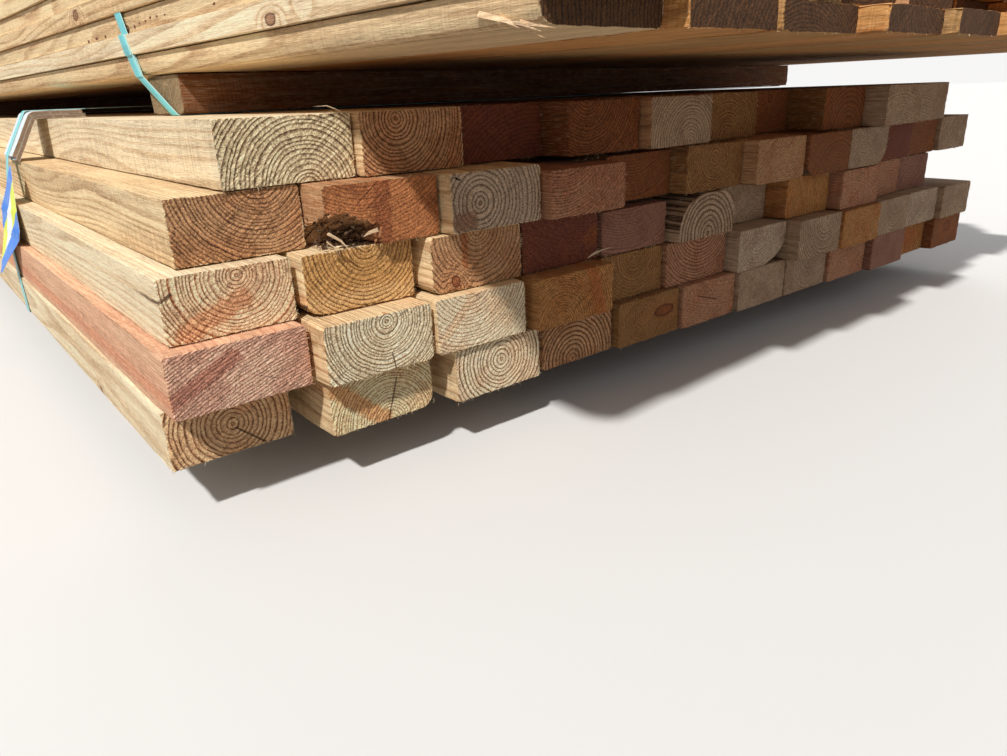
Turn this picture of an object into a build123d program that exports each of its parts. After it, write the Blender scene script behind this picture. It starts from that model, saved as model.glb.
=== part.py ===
from build123d import *
from dataclasses import dataclass, field
import math
import os

os.makedirs("parts", exist_ok=True)

# Two strapped packs of rough-sawn lumber, one on top of the other. X runs across the boards,
# Y along them with the near ends at low Y, Z up. Sizes are in millimetres.

# Boards of the lower pack, full two by fours laid flat
board_length = 3048.0
board_width = 101.6
board_thickness = 51.0

# Boards of the upper pack, rough one by fours laid flat, 13/16 inch thick. Some boards of its
# lowest layer are wider, keyed by their place from the left.
upper_length = 3048.0
upper_width = 101.6
upper_thickness = 20.6
upper_boards_across = 12
upper_odd_widths = {1: 104.0, 2: 102.0, 3: 113.0, 4: 113.0}

# Room between boards side by side, and the sawdust and fuzz between one course and the next
side_gap = 1.8
bedding = 0.3

# The upper pack stands askew on the lower one
upper_corner_x = 157.2
upper_corner_y = -211.4
upper_turn = 3.3

# Bolsters between the packs and bearers under the lower one. In front they share a line, and at
# the rear each keeps its own distance from the far end of the boards that it carries.
front_support = 341.0
bearer_rear_inset = 870.0
bolster_rear_inset = 707.0
bolster_length = 1219.2
bolster_width = 88.9
bolster_thickness = 38.1
bearer_length = 1219.2
bearer_width = 101.6
bearer_thickness = 50.8

# Plastic strapping, three quarters of an inch wide. The upper straps cross under the bolsters a
# little forward of their middle line, and slip back and lean where they climb the pack.
strap_width = 19.05
strap_thickness = 0.9
strap_slack = 0.2
lower_strap_inset = 715.0
upper_strap_foot = -20.0
upper_strap_slip = 38.0
upper_strap_lean = 0.5

# Folded paperboard corner protectors under the lower straps, two nested at each corner. Their
# fold stands out past the corner of the top layer.
protector_flange = 60.3
protector_thickness = 4.8
protector_width = 80.0
protector_overhang = 13.0
protector_layers = 2

# Card tag, four by five inches, hung by one corner flat against the front strap. It slopes down
# towards the rear, its hung corner is in front of the strap's middle, and its foot stands out.
tag_length = 127.0
tag_width = 101.6
tag_thickness = 1.2
tag_slope = 30.0
tag_rounding = 8.0
tag_lead = 50.0
tag_bend = 95.0
tag_flare = 0.15

# Wane takes at most this share of a board's width or thickness
wane_limit = 0.8

# Soft rotten pocket in the front end of one board
pocket_depth = 48.0
pocket_floor = 0.45
pocket_outline = [(-4, -4), (48, -4), (46, 7), (49, 15), (38, 21), (27, 23), (13, 29), (-4, 27)]


@dataclass
class Course:
    """One layer of the lower pack: its left edge, each end's set-back, and its odd gaps and widths."""

    left: float
    set_back: list
    gaps: dict = field(default_factory=dict)
    widths: dict = field(default_factory=dict)


@dataclass
class Board:
    """One board, by its lower left front corner and its size."""

    left: float
    front: float
    bottom: float
    width: float
    thickness: float
    length: float

    @property
    def right(self):
        return self.left + self.width

    @property
    def top(self):
        return self.bottom + self.thickness


# Layers of the lower pack from the ground up. A gap is keyed by the board on its left.
lower_courses = [
    Course(0, [47, 16, 2, 8, 0, -4, -9, -9, -13, -23, -8, -22], {1: 21, 2: 17, 3: 9}),
    Course(2, [17, -2, -2, -12, 10, 5, -12, -30, -33, -27, -25, -33], {1: 4, 2: 4, 3: 8}, {1: 110, 6: 111}),
    Course(12, [33, 26, 10, 12, 10, -6, 20, -9, -26, -6, -3], {1: 5, 2: 8, 3: 3, 4: 4, 5: 4}),
    Course(32, [50, 15, 0, -10, 18, -3, -22, -26, -25, -12, -4, -9], {}, {1: 104, 2: 106}),
    Course(75, [48, 39, 50, 14, 1, 13, 35, -14, -43, -34], {}, {1: 112}),
]

# Bark-rounded edges, by layer and board: corner, reach across the board, reach down its side
wanes = {
    (1, 2): [("top right", 16, 12), ("bottom right", 12, 10)],
    (2, 7): [("bottom right", 58, 34)],
    (3, 2): [("bottom left", 18, 11)],
    (3, 3): [("bottom left", 10, 9)],
    (3, 6): [("top left", 46, 40), ("top right", 24, 20)],
    (4, 8): [("bottom left", 24, 14)],
    (4, 9): [("bottom right", 30, 20)],
}
upper_wane = [("bottom left", 7, 10)]

# Boards sawn thin towards the front end: how much is missing at the end, and over what length
thin_ends = {(3, 5): 4.5, (4, 4): 6.0, (4, 5): 3.0}
thin_run = 700.0
saw_margin = 1.0
pocket_board = (4, 2)

# Lowest layer of the upper pack: how far each end stands behind its corner. The layers above are
# staggered by a wave that moves on with each layer and each board. Then each layer's left edge.
upper_set_back = [0, -16, -18, -39, -50, -62, -45, -70, -52, -40, -60, -55]
upper_steps = [0, -4, 2, -2, 4, 0, 3, -1, 2, 0]
upper_stagger = 22.0
stagger_per_layer = 2.4
stagger_per_board = 1.7

# Turns flatter than this cross product, in square millimetres, count as straight
straight = 0.01


def lay_course(course, bottom):
    """The boards of one layer of the lower pack, from left to right."""
    boards = []
    left = course.left
    for number, set_back in enumerate(course.set_back, start=1):
        width = course.widths.get(number, board_width)
        boards.append(Board(left, set_back, bottom, width, board_thickness, board_length))
        left += width + course.gaps.get(number, side_gap)
    return boards


def lay_upper_course(number, step):
    """One layer of the upper pack, in that pack's own frame."""
    bottom = (number - 1) * (upper_thickness + bedding)
    boards = []
    left = step
    for across in range(upper_boards_across):
        width = upper_width
        if number == 1:
            width = upper_odd_widths.get(across + 1, upper_width)
            set_back = upper_set_back[across % len(upper_set_back)]
        else:
            phase = stagger_per_layer * number + stagger_per_board * across
            set_back = upper_stagger * math.sin(phase)
        boards.append(Board(left, set_back, bottom, width, upper_thickness, upper_length))
        left += width + side_gap
    return boards


def end_outline(board, corners):
    """The board's end as a face: a rectangle with the named corners rounded off by wane."""
    outline = Pos(board.left + board.width / 2, board.bottom + board.thickness / 2) * Rectangle(
        board.width, board.thickness
    )
    for corner, across, down in corners:
        reach_x = min(across, wane_limit * board.width)
        reach_z = min(down, wane_limit * board.thickness)
        x = board.left + reach_x if "left" in corner else board.right - reach_x
        z = board.bottom + reach_z if "bottom" in corner else board.top - reach_z
        side_x = -1 if "left" in corner else 1
        side_z = -1 if "bottom" in corner else 1
        square = Pos(x + side_x * reach_x / 2, z + side_z * reach_z / 2) * Rectangle(reach_x, reach_z)
        outline -= square - Pos(x, z) * Ellipse(reach_x, reach_z)
    return outline


def saw_board(board, corners=()):
    """The board as a solid, running back from its front end."""
    face = Plane.XZ.offset(-board.front) * end_outline(board, corners)
    return extrude(face, amount=board.length, dir=(0, 1, 0))


def thin_wedge(board, drop):
    """The wedge that is missing from the top of a board sawn thin at the front."""
    wedge = Polyline(
        (board.front - saw_margin, board.top + saw_margin),
        (board.front - saw_margin, board.top - drop),
        (board.front + thin_run, board.top),
        (board.front + thin_run, board.top + saw_margin),
        close=True,
    )
    face = Plane.YZ.offset(board.left - saw_margin) * make_face(wedge)
    return extrude(face, amount=board.width + 2 * saw_margin, dir=(1, 0, 0))


def rot_pocket(board):
    """The hollow that rot has left in the lower left of a board's front end, narrower inside."""
    faces = []
    for share, depth in ((1, 0), (pocket_floor, pocket_depth)):
        points = [(board.left + x * share, board.bottom + z * share) for x, z in pocket_outline]
        faces.append(Plane.XZ.offset(-board.front - depth) * make_face(Polyline(*points, close=True)))
    return loft(faces, ruled=True)


def lower_course_solids(number, boards):
    solids = []
    for place, board in enumerate(boards, start=1):
        solid = saw_board(board, wanes.get((number, place), ()))
        if (number, place) in thin_ends:
            solid -= thin_wedge(board, thin_ends[(number, place)])
        if (number, place) == pocket_board:
            solid -= rot_pocket(board)
        solids.append(solid)
    return solids


def hull(points):
    """The convex hull of (x, z) points, counter-clockwise: the line that a tight strap takes."""

    def half(ordered):
        chain = []
        for x, z in ordered:
            while len(chain) > 1:
                (ax, az), (bx, bz) = chain[-2], chain[-1]
                if (bx - ax) * (z - az) - (bz - az) * (x - ax) > straight:
                    break
                chain.pop()
            chain.append((x, z))
        return chain[:-1]

    ordered = sorted(points)
    return half(ordered) + half(ordered[::-1])


def grow(loop, distance):
    """A closed counter-clockwise loop moved outwards by a distance, with its corners mitred."""
    grown = []
    for index, (x, z) in enumerate(loop):
        before = Vector(*loop[index - 1])
        here = Vector(x, z)
        after = Vector(*loop[(index + 1) % len(loop)])
        into = (here - before).normalized()
        out = (after - here).normalized()
        normal = Vector(into.Y, -into.X) + Vector(out.Y, -out.X)
        mitre = normal * (distance / (1 + into.dot(out)))
        grown.append((x + mitre.X, z + mitre.Y))
    return grown


def strap_band(loop, middles):
    """A flat strap round a closed loop of (x, z) points, each with the Y of the strap's middle there."""
    inner = grow(loop, strap_slack)
    outer = grow(loop, strap_slack + strap_thickness)
    sections = []
    for (ix, iz), (ox, oz), y in zip(inner, outer, middles):
        low = y - strap_width / 2
        high = y + strap_width / 2
        sections.append([(ix, low, iz), (ox, low, oz), (ox, high, oz), (ix, high, iz)])
    faces = []
    for start, end in zip(sections, sections[1:] + sections[:1]):
        near_in, near_out, far_out, far_in = zip(start, end)
        for side, other in ((far_in, near_in), (near_out, far_out)):
            faces.append([side[0], other[0], other[1], side[1]])
        for side, other in ((near_in, near_out), (far_out, far_in)):
            faces.append([side[0], other[0], other[1]])
            faces.append([side[0], other[1], side[1]])
    shell = Shell([make_face(Polyline(*corners, close=True)) for corners in faces])
    return Solid(shell)


def corner_points(boards):
    """The (x, z) corners that a strap can touch on a course, from its first and last board."""
    first, last = boards[0], boards[-1]
    return [
        (first.left, first.bottom),
        (first.left, first.top),
        (last.right, last.bottom),
        (last.right, last.top),
    ]


def protector_outline(corner, inwards, shoulder, layer):
    """A folded protector's section: a flange on the top course and one towards the shoulder below."""
    along = Vector(inwards, 0)
    top = Vector(*corner) - along * protector_overhang
    fall = (Vector(*shoulder) - top).normalized()
    face_normal = Vector(fall.Y, -fall.X) * inwards
    lift = bedding + layer * (protector_thickness + bedding)
    fold = top + Vector(lift * (1 - face_normal.Y) / face_normal.X, lift)
    edge_in = fold + along * protector_flange
    edge_down = fold + fall * protector_flange
    mitre = (Vector(0, 1) + face_normal) * (protector_thickness / (1 + face_normal.Y))
    return [
        edge_in,
        fold,
        edge_down,
        edge_down + face_normal * protector_thickness,
        fold + mitre,
        edge_in + Vector(0, protector_thickness),
    ]


def prism(points, middle, width):
    """A solid with its section in the XZ plane, centred on a Y value."""
    outline = Polyline(*[(point.X, point.Y) for point in points], close=True)
    face = Plane.XZ.offset(width / 2 - middle) * make_face(outline)
    return extrude(face, amount=width, dir=(0, 1, 0))


def stick(x, y, z, length, width, thickness):
    """A bearer or bolster across the pack: its left end, its middle line and its underside."""
    return Pos(x + length / 2, y, z + thickness / 2) * Box(length, width, thickness)


# Lower pack
pitch = board_thickness + bedding
lower = [lay_course(course, index * pitch) for index, course in enumerate(lower_courses)]
nodes = {}
for index, boards in enumerate(lower):
    nodes[f"lower_course_{index + 1}"] = lower_course_solids(index + 1, boards)
lower_top = lower[-1][0].top
pack_right = max(boards[-1].right for boards in lower)

# Bearers on the ground, set in from both sides of the pack
bearer_left = (pack_right - bearer_length) / 2
bearer_bottom = -bedding - bearer_thickness
for name, line in (("front", front_support), ("rear", board_length - bearer_rear_inset)):
    nodes[f"bearer_{name}"] = [
        stick(bearer_left, line, bearer_bottom, bearer_length, bearer_width, bearer_thickness)
    ]

# Corner protectors and straps of the lower pack
top_course, shoulder_course = lower[-1], lower[-2]
corner_places = {
    "left": ((top_course[0].left, lower_top), 1, (shoulder_course[0].left, shoulder_course[0].top)),
    "right": (
        (top_course[-1].right, lower_top),
        -1,
        (shoulder_course[-1].right, shoulder_course[-1].top),
    ),
}
protectors = {}
touched = [corner for boards in lower for corner in corner_points(boards)]
for side, place in corner_places.items():
    protectors[side] = [protector_outline(*place, layer) for layer in range(protector_layers)]
    touched += [(point.X, point.Y) for outline in protectors[side] for point in outline]
lower_loop = hull(touched)
strap_lines = {"front": lower_strap_inset, "rear": board_length - lower_strap_inset}
for name, line in strap_lines.items():
    for side, outlines in protectors.items():
        folded = [prism(outline, line, protector_width) for outline in outlines]
        nodes[f"corner_protector_{name}_{side}"] = folded
    nodes[f"lower_strap_{name}"] = [strap_band(lower_loop, [line] * len(lower_loop))]

# Upper pack, in its own frame with the lowest layer's underside at zero
upper = [lay_upper_course(number, step) for number, step in enumerate(upper_steps, start=1)]
bolster_bottom = lower_top + strap_thickness + 2 * strap_slack
upper_frame = Pos(upper_corner_x, upper_corner_y, bolster_bottom + bolster_thickness + bedding)
upper_frame *= Rot(0, 0, upper_turn)
for index, boards in enumerate(upper):
    solids = [saw_board(boards[0], upper_wane if index == 0 else ())]
    solids += [saw_board(board) for board in boards[1:]]
    nodes[f"upper_course_{index + 1}"] = [upper_frame * solid for solid in solids]

# Bolsters, held under the upper pack by its own straps, which have slipped askew
upper_left = min(boards[0].left for boards in upper)
upper_top = upper[-1][0].top
usual_right = upper_boards_across * (upper_width + side_gap) - side_gap
bolster_left = (upper_left + usual_right - bolster_length) / 2
bolster_underside = -bedding - bolster_thickness
lean = upper_strap_lean * upper_top
bolster_lines = {"front": front_support - upper_corner_y, "rear": upper_length - bolster_rear_inset}
for name, middle in bolster_lines.items():
    bolster = stick(
        bolster_left, middle, bolster_underside, bolster_length, bolster_width, bolster_thickness
    )
    nodes[f"bolster_{name}"] = [upper_frame * bolster]
    corners = [corner for boards in upper for corner in corner_points(boards)]
    for x in (bolster_left, bolster_left + bolster_length):
        corners += [(x, bolster_underside), (x, -bedding)]
    loop = hull(corners)
    middles = []
    for x, z in loop:
        share = max(z, 0) / upper_top
        slip = upper_strap_slip if z >= 0 else upper_strap_foot
        middles.append(middle + slip + lean * share)
    nodes[f"upper_strap_{name}"] = [upper_frame * strap_band(loop, middles)]

# Tag against the outside of the front strap, level at the top with the shoulder. Its sheet carries
# on the strap's line at that level, which passes outside of all the rest of the strap.
tag_top = shoulder_course[0].top
strap_outside = grow(lower_loop, 2 * strap_slack + strap_thickness)
left_side = sorted([(z, x) for x, z in strap_outside if x < pack_right / 2], reverse=True)
runs = zip(left_side, left_side[1:])
(high_z, high_x), (low_z, low_x) = next(run for run in runs if run[1][0] < tag_top)
tag_lean = (high_x - low_x) / (high_z - low_z)
fall_angle = math.radians(tag_slope)
tag_depth = tag_length * math.sin(fall_angle) + tag_width * math.cos(fall_angle)
levels = [tag_top, tag_top - tag_bend, tag_top - tag_bend - tag_depth]
sheet_inside, sheet_outside = [], []
for level in levels:
    flare = tag_flare * max(0, tag_top - tag_bend - level)
    x = low_x + tag_lean * (level - low_z) - flare
    sheet_inside.append(Vector(x, level))
    sheet_outside.append(Vector(x - tag_thickness, level))
sheet_line = lower_strap_inset - tag_lead + tag_length / 2
sheet = prism(sheet_inside + sheet_outside[::-1], sheet_line, 2 * (tag_length + tag_width))
card = Pos(tag_length / 2, -tag_width / 2) * RectangleRounded(tag_length, tag_width, tag_rounding)
card = Pos(lower_strap_inset - tag_lead, tag_top) * Rot(0, 0, -tag_slope) * card
cutter = extrude(Plane.YZ.offset(-pack_right) * card, amount=2 * pack_right, dir=(1, 0, 0))
nodes["tag"] = [sheet & cutter]

# The origin is the middle of the footprint, on the ground
whole = Compound([solid for solids in nodes.values() for solid in solids]).bounding_box()
home = Pos(-(whole.min.X + whole.max.X) / 2, -(whole.min.Y + whole.max.Y) / 2, -bearer_bottom)
for name, solids in nodes.items():
    placed = [home * solid for solid in solids]
    export_step(placed[0] if len(placed) == 1 else Compound(placed), f"parts/{name}.step")
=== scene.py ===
import math
from dataclasses import dataclass

import bpy
import numpy as np
from mathutils import Matrix, Vector


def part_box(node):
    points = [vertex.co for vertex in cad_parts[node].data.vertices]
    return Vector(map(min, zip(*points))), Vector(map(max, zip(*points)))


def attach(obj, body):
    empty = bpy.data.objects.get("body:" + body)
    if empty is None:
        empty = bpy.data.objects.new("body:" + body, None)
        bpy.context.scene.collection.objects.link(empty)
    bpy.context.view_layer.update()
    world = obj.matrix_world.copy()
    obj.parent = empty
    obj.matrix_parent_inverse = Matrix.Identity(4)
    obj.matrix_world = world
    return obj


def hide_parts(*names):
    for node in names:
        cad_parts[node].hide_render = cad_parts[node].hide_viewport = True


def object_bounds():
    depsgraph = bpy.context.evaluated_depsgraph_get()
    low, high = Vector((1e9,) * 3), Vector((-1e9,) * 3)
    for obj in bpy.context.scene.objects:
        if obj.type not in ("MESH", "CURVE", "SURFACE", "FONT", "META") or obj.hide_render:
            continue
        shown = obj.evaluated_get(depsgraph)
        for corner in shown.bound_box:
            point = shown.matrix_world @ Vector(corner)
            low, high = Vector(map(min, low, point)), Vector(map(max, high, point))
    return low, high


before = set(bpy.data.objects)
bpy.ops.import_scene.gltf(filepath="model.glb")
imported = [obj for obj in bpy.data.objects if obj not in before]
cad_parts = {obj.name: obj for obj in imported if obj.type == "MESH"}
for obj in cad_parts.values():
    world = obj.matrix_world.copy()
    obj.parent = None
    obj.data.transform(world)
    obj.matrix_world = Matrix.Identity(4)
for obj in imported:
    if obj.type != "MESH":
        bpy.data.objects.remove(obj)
cad_low, cad_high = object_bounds()

# Bearers: two rough-sawn softwood sticks laid flat on the ground across the stack, one towards
# each end, so that forks can go in under it. They are off-cuts, greyer than the boards they carry.
mm = 0.001
dice = np.random.default_rng(7)


@dataclass
class Stick:
    """One sawn stick: its box in its pack's own frame, and how far that frame is turned about Z."""

    left: float
    front: float
    bottom: float
    width: float
    length: float
    thickness: float
    turn: float

    def place(self, points):
        """Moves points measured from the stick's lower left front corner to where it lies."""
        corner = np.array([self.left, self.front, self.bottom])
        return (np.asarray(points) + corner) @ np.array(Matrix.Rotation(self.turn, 3, "Z")).T


def welded(node):
    """A CAD node's places and faces, where vertices that share a place are one."""
    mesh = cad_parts[node].data
    points = np.array([vertex.co for vertex in mesh.vertices])
    places, index = np.unique(np.round(points, 5), axis=0, return_inverse=True)
    index = index.reshape(-1)
    return places, [[int(index[corner]) for corner in face.vertices] for face in mesh.polygons]


def turn_of(places, faces):
    """How far a node's largest upright face is turned from the nearest axis."""
    largest, turn = 0.0, 0.0
    for face in faces:
        a, b, c = (Vector(places[corner]) for corner in face[:3])
        normal = (b - a).cross(c - a)
        if abs(normal.z) < 0.1 * normal.length and normal.length > largest:
            largest = normal.length
            turn = math.atan2(normal.y, normal.x)
    quarter = math.pi / 2
    return (turn + quarter / 2) % quarter - quarter / 2


def solids_of(places, faces):
    """The places of each separate solid in a node."""
    group = list(range(len(places)))

    def leader(corner):
        while group[corner] != corner:
            corner = group[corner]
        return corner

    for face in faces:
        for corner in face[1:]:
            group[leader(corner)] = leader(face[0])
    leaders = np.array([leader(corner) for corner in range(len(places))])
    return [places[leaders == one] for one in np.unique(leaders)]


def sticks_in(node, crosswise=False):
    """The sticks that a CAD node holds, from left to right. Crosswise ones run along X."""
    places, faces = welded(node)
    turn = turn_of(places, faces) - (math.pi / 2 if crosswise else 0.0)
    sticks = []
    for solid in solids_of(places, faces):
        local = solid @ np.array(Matrix.Rotation(-turn, 3, "Z")).T
        low = local.min(axis=0)
        sticks.append(Stick(*low, *(local.max(axis=0) - low), turn))
    return sorted(sticks, key=lambda stick: stick.left)


# Wood tones: pale early growth, dark late growth, and the colour of stains and heartwood
tones = {
    "straw": ((248, 220, 174), (168, 114, 68), (228, 170, 112)),
    "pale": ((252, 232, 196), (206, 168, 122), (236, 196, 146)),
    "cream": ((246, 222, 186), (130, 90, 58), (226, 150, 92)),
    "butter": ((252, 226, 178), (140, 96, 58), (232, 152, 88)),
    "sage": ((246, 224, 182), (104, 72, 46), (222, 184, 128)),
    "ivory": ((248, 228, 192), (146, 116, 84), (214, 178, 130)),
    "peach": ((250, 216, 174), (152, 92, 58), (222, 134, 80)),
    "copper": ((236, 190, 144), (120, 76, 46), (214, 140, 84)),
    "khaki": ((208, 158, 98), (122, 82, 42), (226, 184, 130)),
    "tan": ((200, 154, 112), (104, 66, 42), (176, 98, 50)),
    "grey_tan": ((186, 158, 130), (112, 84, 62), (156, 112, 78)),
    "ashen": ((198, 174, 148), (124, 100, 80), (140, 96, 70)),
    "blush": ((184, 134, 102), (120, 76, 56), (182, 98, 64)),
    "plum": ((158, 112, 92), (104, 68, 56), (136, 82, 64)),
    "ochre": ((188, 134, 78), (112, 64, 34), (190, 94, 44)),
    "olive": ((160, 116, 70), (94, 60, 34), (140, 92, 48)),
    "umber": ((136, 84, 48), (80, 44, 26), (158, 86, 40)),
    "maroon": ((118, 66, 50), (80, 42, 36), (150, 84, 44)),
    "brick": ((190, 124, 78), (118, 66, 42), (128, 66, 42)),
    "mauve": ((238, 192, 164), (160, 102, 82), (150, 60, 44)),
    "salmon": ((242, 196, 160), (206, 138, 104), (232, 142, 104)),
    "honey": ((226, 164, 98), (146, 90, 50), (214, 130, 72)),
    "weathered": ((186, 168, 142), (124, 106, 84), (150, 122, 92)),
    "drift": ((164, 140, 104), (102, 82, 58), (134, 106, 74)),
    "soot": ((90, 60, 36), (50, 33, 20), (92, 58, 34)),
    "rot": ((76, 50, 30), (34, 22, 15), (92, 58, 34)),
}


def linear(colour):
    """A colour given in 0 to 255 as linear light, with full alpha."""
    shares = [channel / 255 for channel in colour]
    return (*[c / 12.92 if c <= 0.04045 else ((c + 0.055) / 1.055) ** 2.4 for c in shares], 1.0)


@dataclass
class Log:
    """How a stick was cut from its log. Sizes are in millimetres from its lower left front corner.

    A stain is a band from one point of the end to another, which runs on along the stick. A crack
    is the same, dark, and fades within a few centimetres. Each has its half width.
    """

    tone: str
    pith: tuple = (50, -80)
    ring: float = 3.5
    contrast: float = 0.5
    end: str = ""
    heart: float = 0.0
    marks: float = 0.6
    blotch: float = 0.25
    knot: tuple = (0, -900, 0)
    knot_size: tuple = (10, 10, 10)
    stain: tuple = (0, -900, 0, -900, 1)
    stained: float = 0.7
    crack: tuple = (0, -900, 0, -900, 1)
    lean: tuple = (0, 0)


arris = 0.6 * mm
narrow_wane = 8 * mm


def between(start, end, pitch):
    """Evenly spaced points inside a straight run."""
    count = int(math.dist(start, end) / pitch)
    shares = [(step + 1) / (count + 1) for step in range(count)]
    return [
        (start[0] + (end[0] - start[0]) * s, start[1] + (end[1] - start[1]) * s) for s in shares
    ]


def section(width, thickness, wane, pitch):
    """Points round a stick's end, anticlockwise from the lower left corner, and where bark is left.

    A narrow round of the log has lost its bark.
    """
    corners = {
        "bottom left": (0, 0, math.pi),
        "bottom right": (1, 0, 1.5 * math.pi),
        "top right": (1, 1, 0.0),
        "top left": (0, 1, 0.5 * math.pi),
    }
    points, bark = [], []
    for name, (right, top, start) in corners.items():
        across, down = wane.get(name, (arris, arris))
        middle_x = width - across if right else across
        middle_z = thickness - down if top else down
        steps = max(1, round((across + down) / pitch))
        arc = []
        for step in range(steps + 1):
            angle = start + 0.5 * math.pi * step / steps
            arc.append((middle_x + across * math.cos(angle), middle_z + down * math.sin(angle)))
        run = between(points[-1], arc[0], pitch) if points else []
        points += run + arc
        bark += [0.0] * len(run) + [float(across > narrow_wane)] * len(arc)
    run = between(points[-1], points[0], pitch)
    return np.array(points + run), np.array(bark + [0.0] * len(run))


def stations(length, first, longest, growth):
    """Distances along a stick, close together at its two ends."""
    steps = [0.0]
    step = first
    while steps[-1] + step < length / 2:
        steps.append(steps[-1] + step)
        step = min(step * growth, longest)
    return np.array(steps + [length - distance for distance in reversed(steps)])


def ripple(points, wavelength, seed):
    """A smooth uneven value from 0 to 1 at each point, for wear and for wandering surfaces."""
    turns = np.random.default_rng(seed)
    total = np.zeros(points.shape[:-1])
    for _ in range(5):
        direction = turns.normal(size=3)
        direction *= turns.uniform(0.6, 1.6) / np.linalg.norm(direction)
        total += np.sin(points @ direction * (2 * math.pi / wavelength) + turns.uniform(0, 6.3))
    return np.clip(0.5 + total / 6, 0, 1)


class Bundle:
    """Sticks being joined into one mesh, with the values that the wood's material reads from it."""

    vectors = ("board_point", "pith", "habit", "lean", "knot", "knot_size")
    vectors += ("stain_from", "stain_to", "crack_from", "crack_to")
    colours = ("early", "late", "accent")
    marks = ("end_face", "fuzz", "bark")

    def __init__(self):
        self.count = 0
        self.points = []
        self.quads = []
        self.triangles = []
        self.quad_marks = []
        self.triangle_marks = []
        self.values = {name: [] for name in self.vectors + self.colours}

    def add(self, stick, log, seed, local, quads, triangles, quad_marks, triangle_marks, ends=None):
        """Takes a mesh in a stick's own measure, and which of its points show the end's tone."""
        count = len(local)
        self.points.append(stick.place(local))
        self.quads.append(np.asarray(quads, int).reshape(-1, 4) + self.count)
        self.triangles.append(np.asarray(triangles, int).reshape(-1, 3) + self.count)
        self.quad_marks.append(np.asarray(quad_marks, float).reshape(-1, 3))
        self.triangle_marks.append(np.asarray(triangle_marks, float).reshape(-1, 3))
        self.count += count
        shared = {
            "pith": (log.pith[0], log.pith[1], log.ring),
            "habit": (log.contrast, log.heart, log.marks),
            "lean": (log.lean[0], seed, log.lean[1]),
            "knot": log.knot,
            "knot_size": log.knot_size,
            "stain_from": (log.stain[0], log.stain[1], log.stain[4]),
            "stain_to": (log.stain[2], log.stain[3], log.stained),
            "crack_from": (log.crack[0], log.crack[1], log.crack[4]),
            "crack_to": (log.crack[2], log.crack[3], log.blotch),
        }
        self.values["board_point"].append(local)
        for name, value in shared.items():
            self.values[name].append(np.tile(value, (count, 1)))
        for name, side, end in zip(self.colours, tones[log.tone], tones[log.end or log.tone]):
            shown = np.tile(linear(side), (count, 1))
            if ends is not None:
                shown[ends] = linear(end)
            self.values[name].append(shown)

    def piece(self, name, material, node):
        """The finished mesh as a piece that stands for a CAD node."""
        points = np.clip(np.concatenate(self.points), cad_low, cad_high)
        quads = np.concatenate(self.quads)
        triangles = np.concatenate(self.triangles)
        marks = np.concatenate(self.quad_marks + self.triangle_marks)
        mesh = bpy.data.meshes.new(name)
        mesh.from_pydata(points.tolist(), [], quads.tolist() + triangles.tolist())
        for key in self.vectors:
            layer = mesh.attributes.new(key, "FLOAT_VECTOR", "POINT")
            layer.data.foreach_set(
                "vector", np.concatenate(self.values[key]).astype(np.float32).ravel()
            )
        for key in self.colours:
            layer = mesh.attributes.new(key, "FLOAT_COLOR", "POINT")
            layer.data.foreach_set(
                "color", np.concatenate(self.values[key]).astype(np.float32).ravel()
            )
        for column, key in enumerate(self.marks):
            layer = mesh.attributes.new(key, "FLOAT", "FACE")
            layer.data.foreach_set("value", marks[:, column].astype(np.float32))
        mesh.polygons.foreach_set("use_smooth", [True] * len(mesh.polygons))
        mesh.set_sharp_from_angle(angle=math.radians(32))
        mesh.materials.append(material)
        return dressed(name, mesh, node)


def dressed(name, mesh, node):
    """Links a mesh as a piece that rides with the stack and stands for a CAD node."""
    made = bpy.data.objects.new(name, mesh)
    bpy.context.scene.collection.objects.link(made)
    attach(made, "root")
    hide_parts(node)
    return made


# How deep the surface wanders and wears, how deep the saw tears it, and how far back from an end
face_wander = 0.5 * mm
arris_wear, end_wear, wear_reach = 1.2 * mm, 2.4 * mm, 30 * mm
edge_tear, edge_reach = 2.6 * mm, 14 * mm
rim_tear, rim_reach = 1.3 * mm, 4 * mm
end_tear = 2.4 * mm
longest_step = 420 * mm
cap_rings = (0.98, 0.92, 0.8, 0.5)


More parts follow.
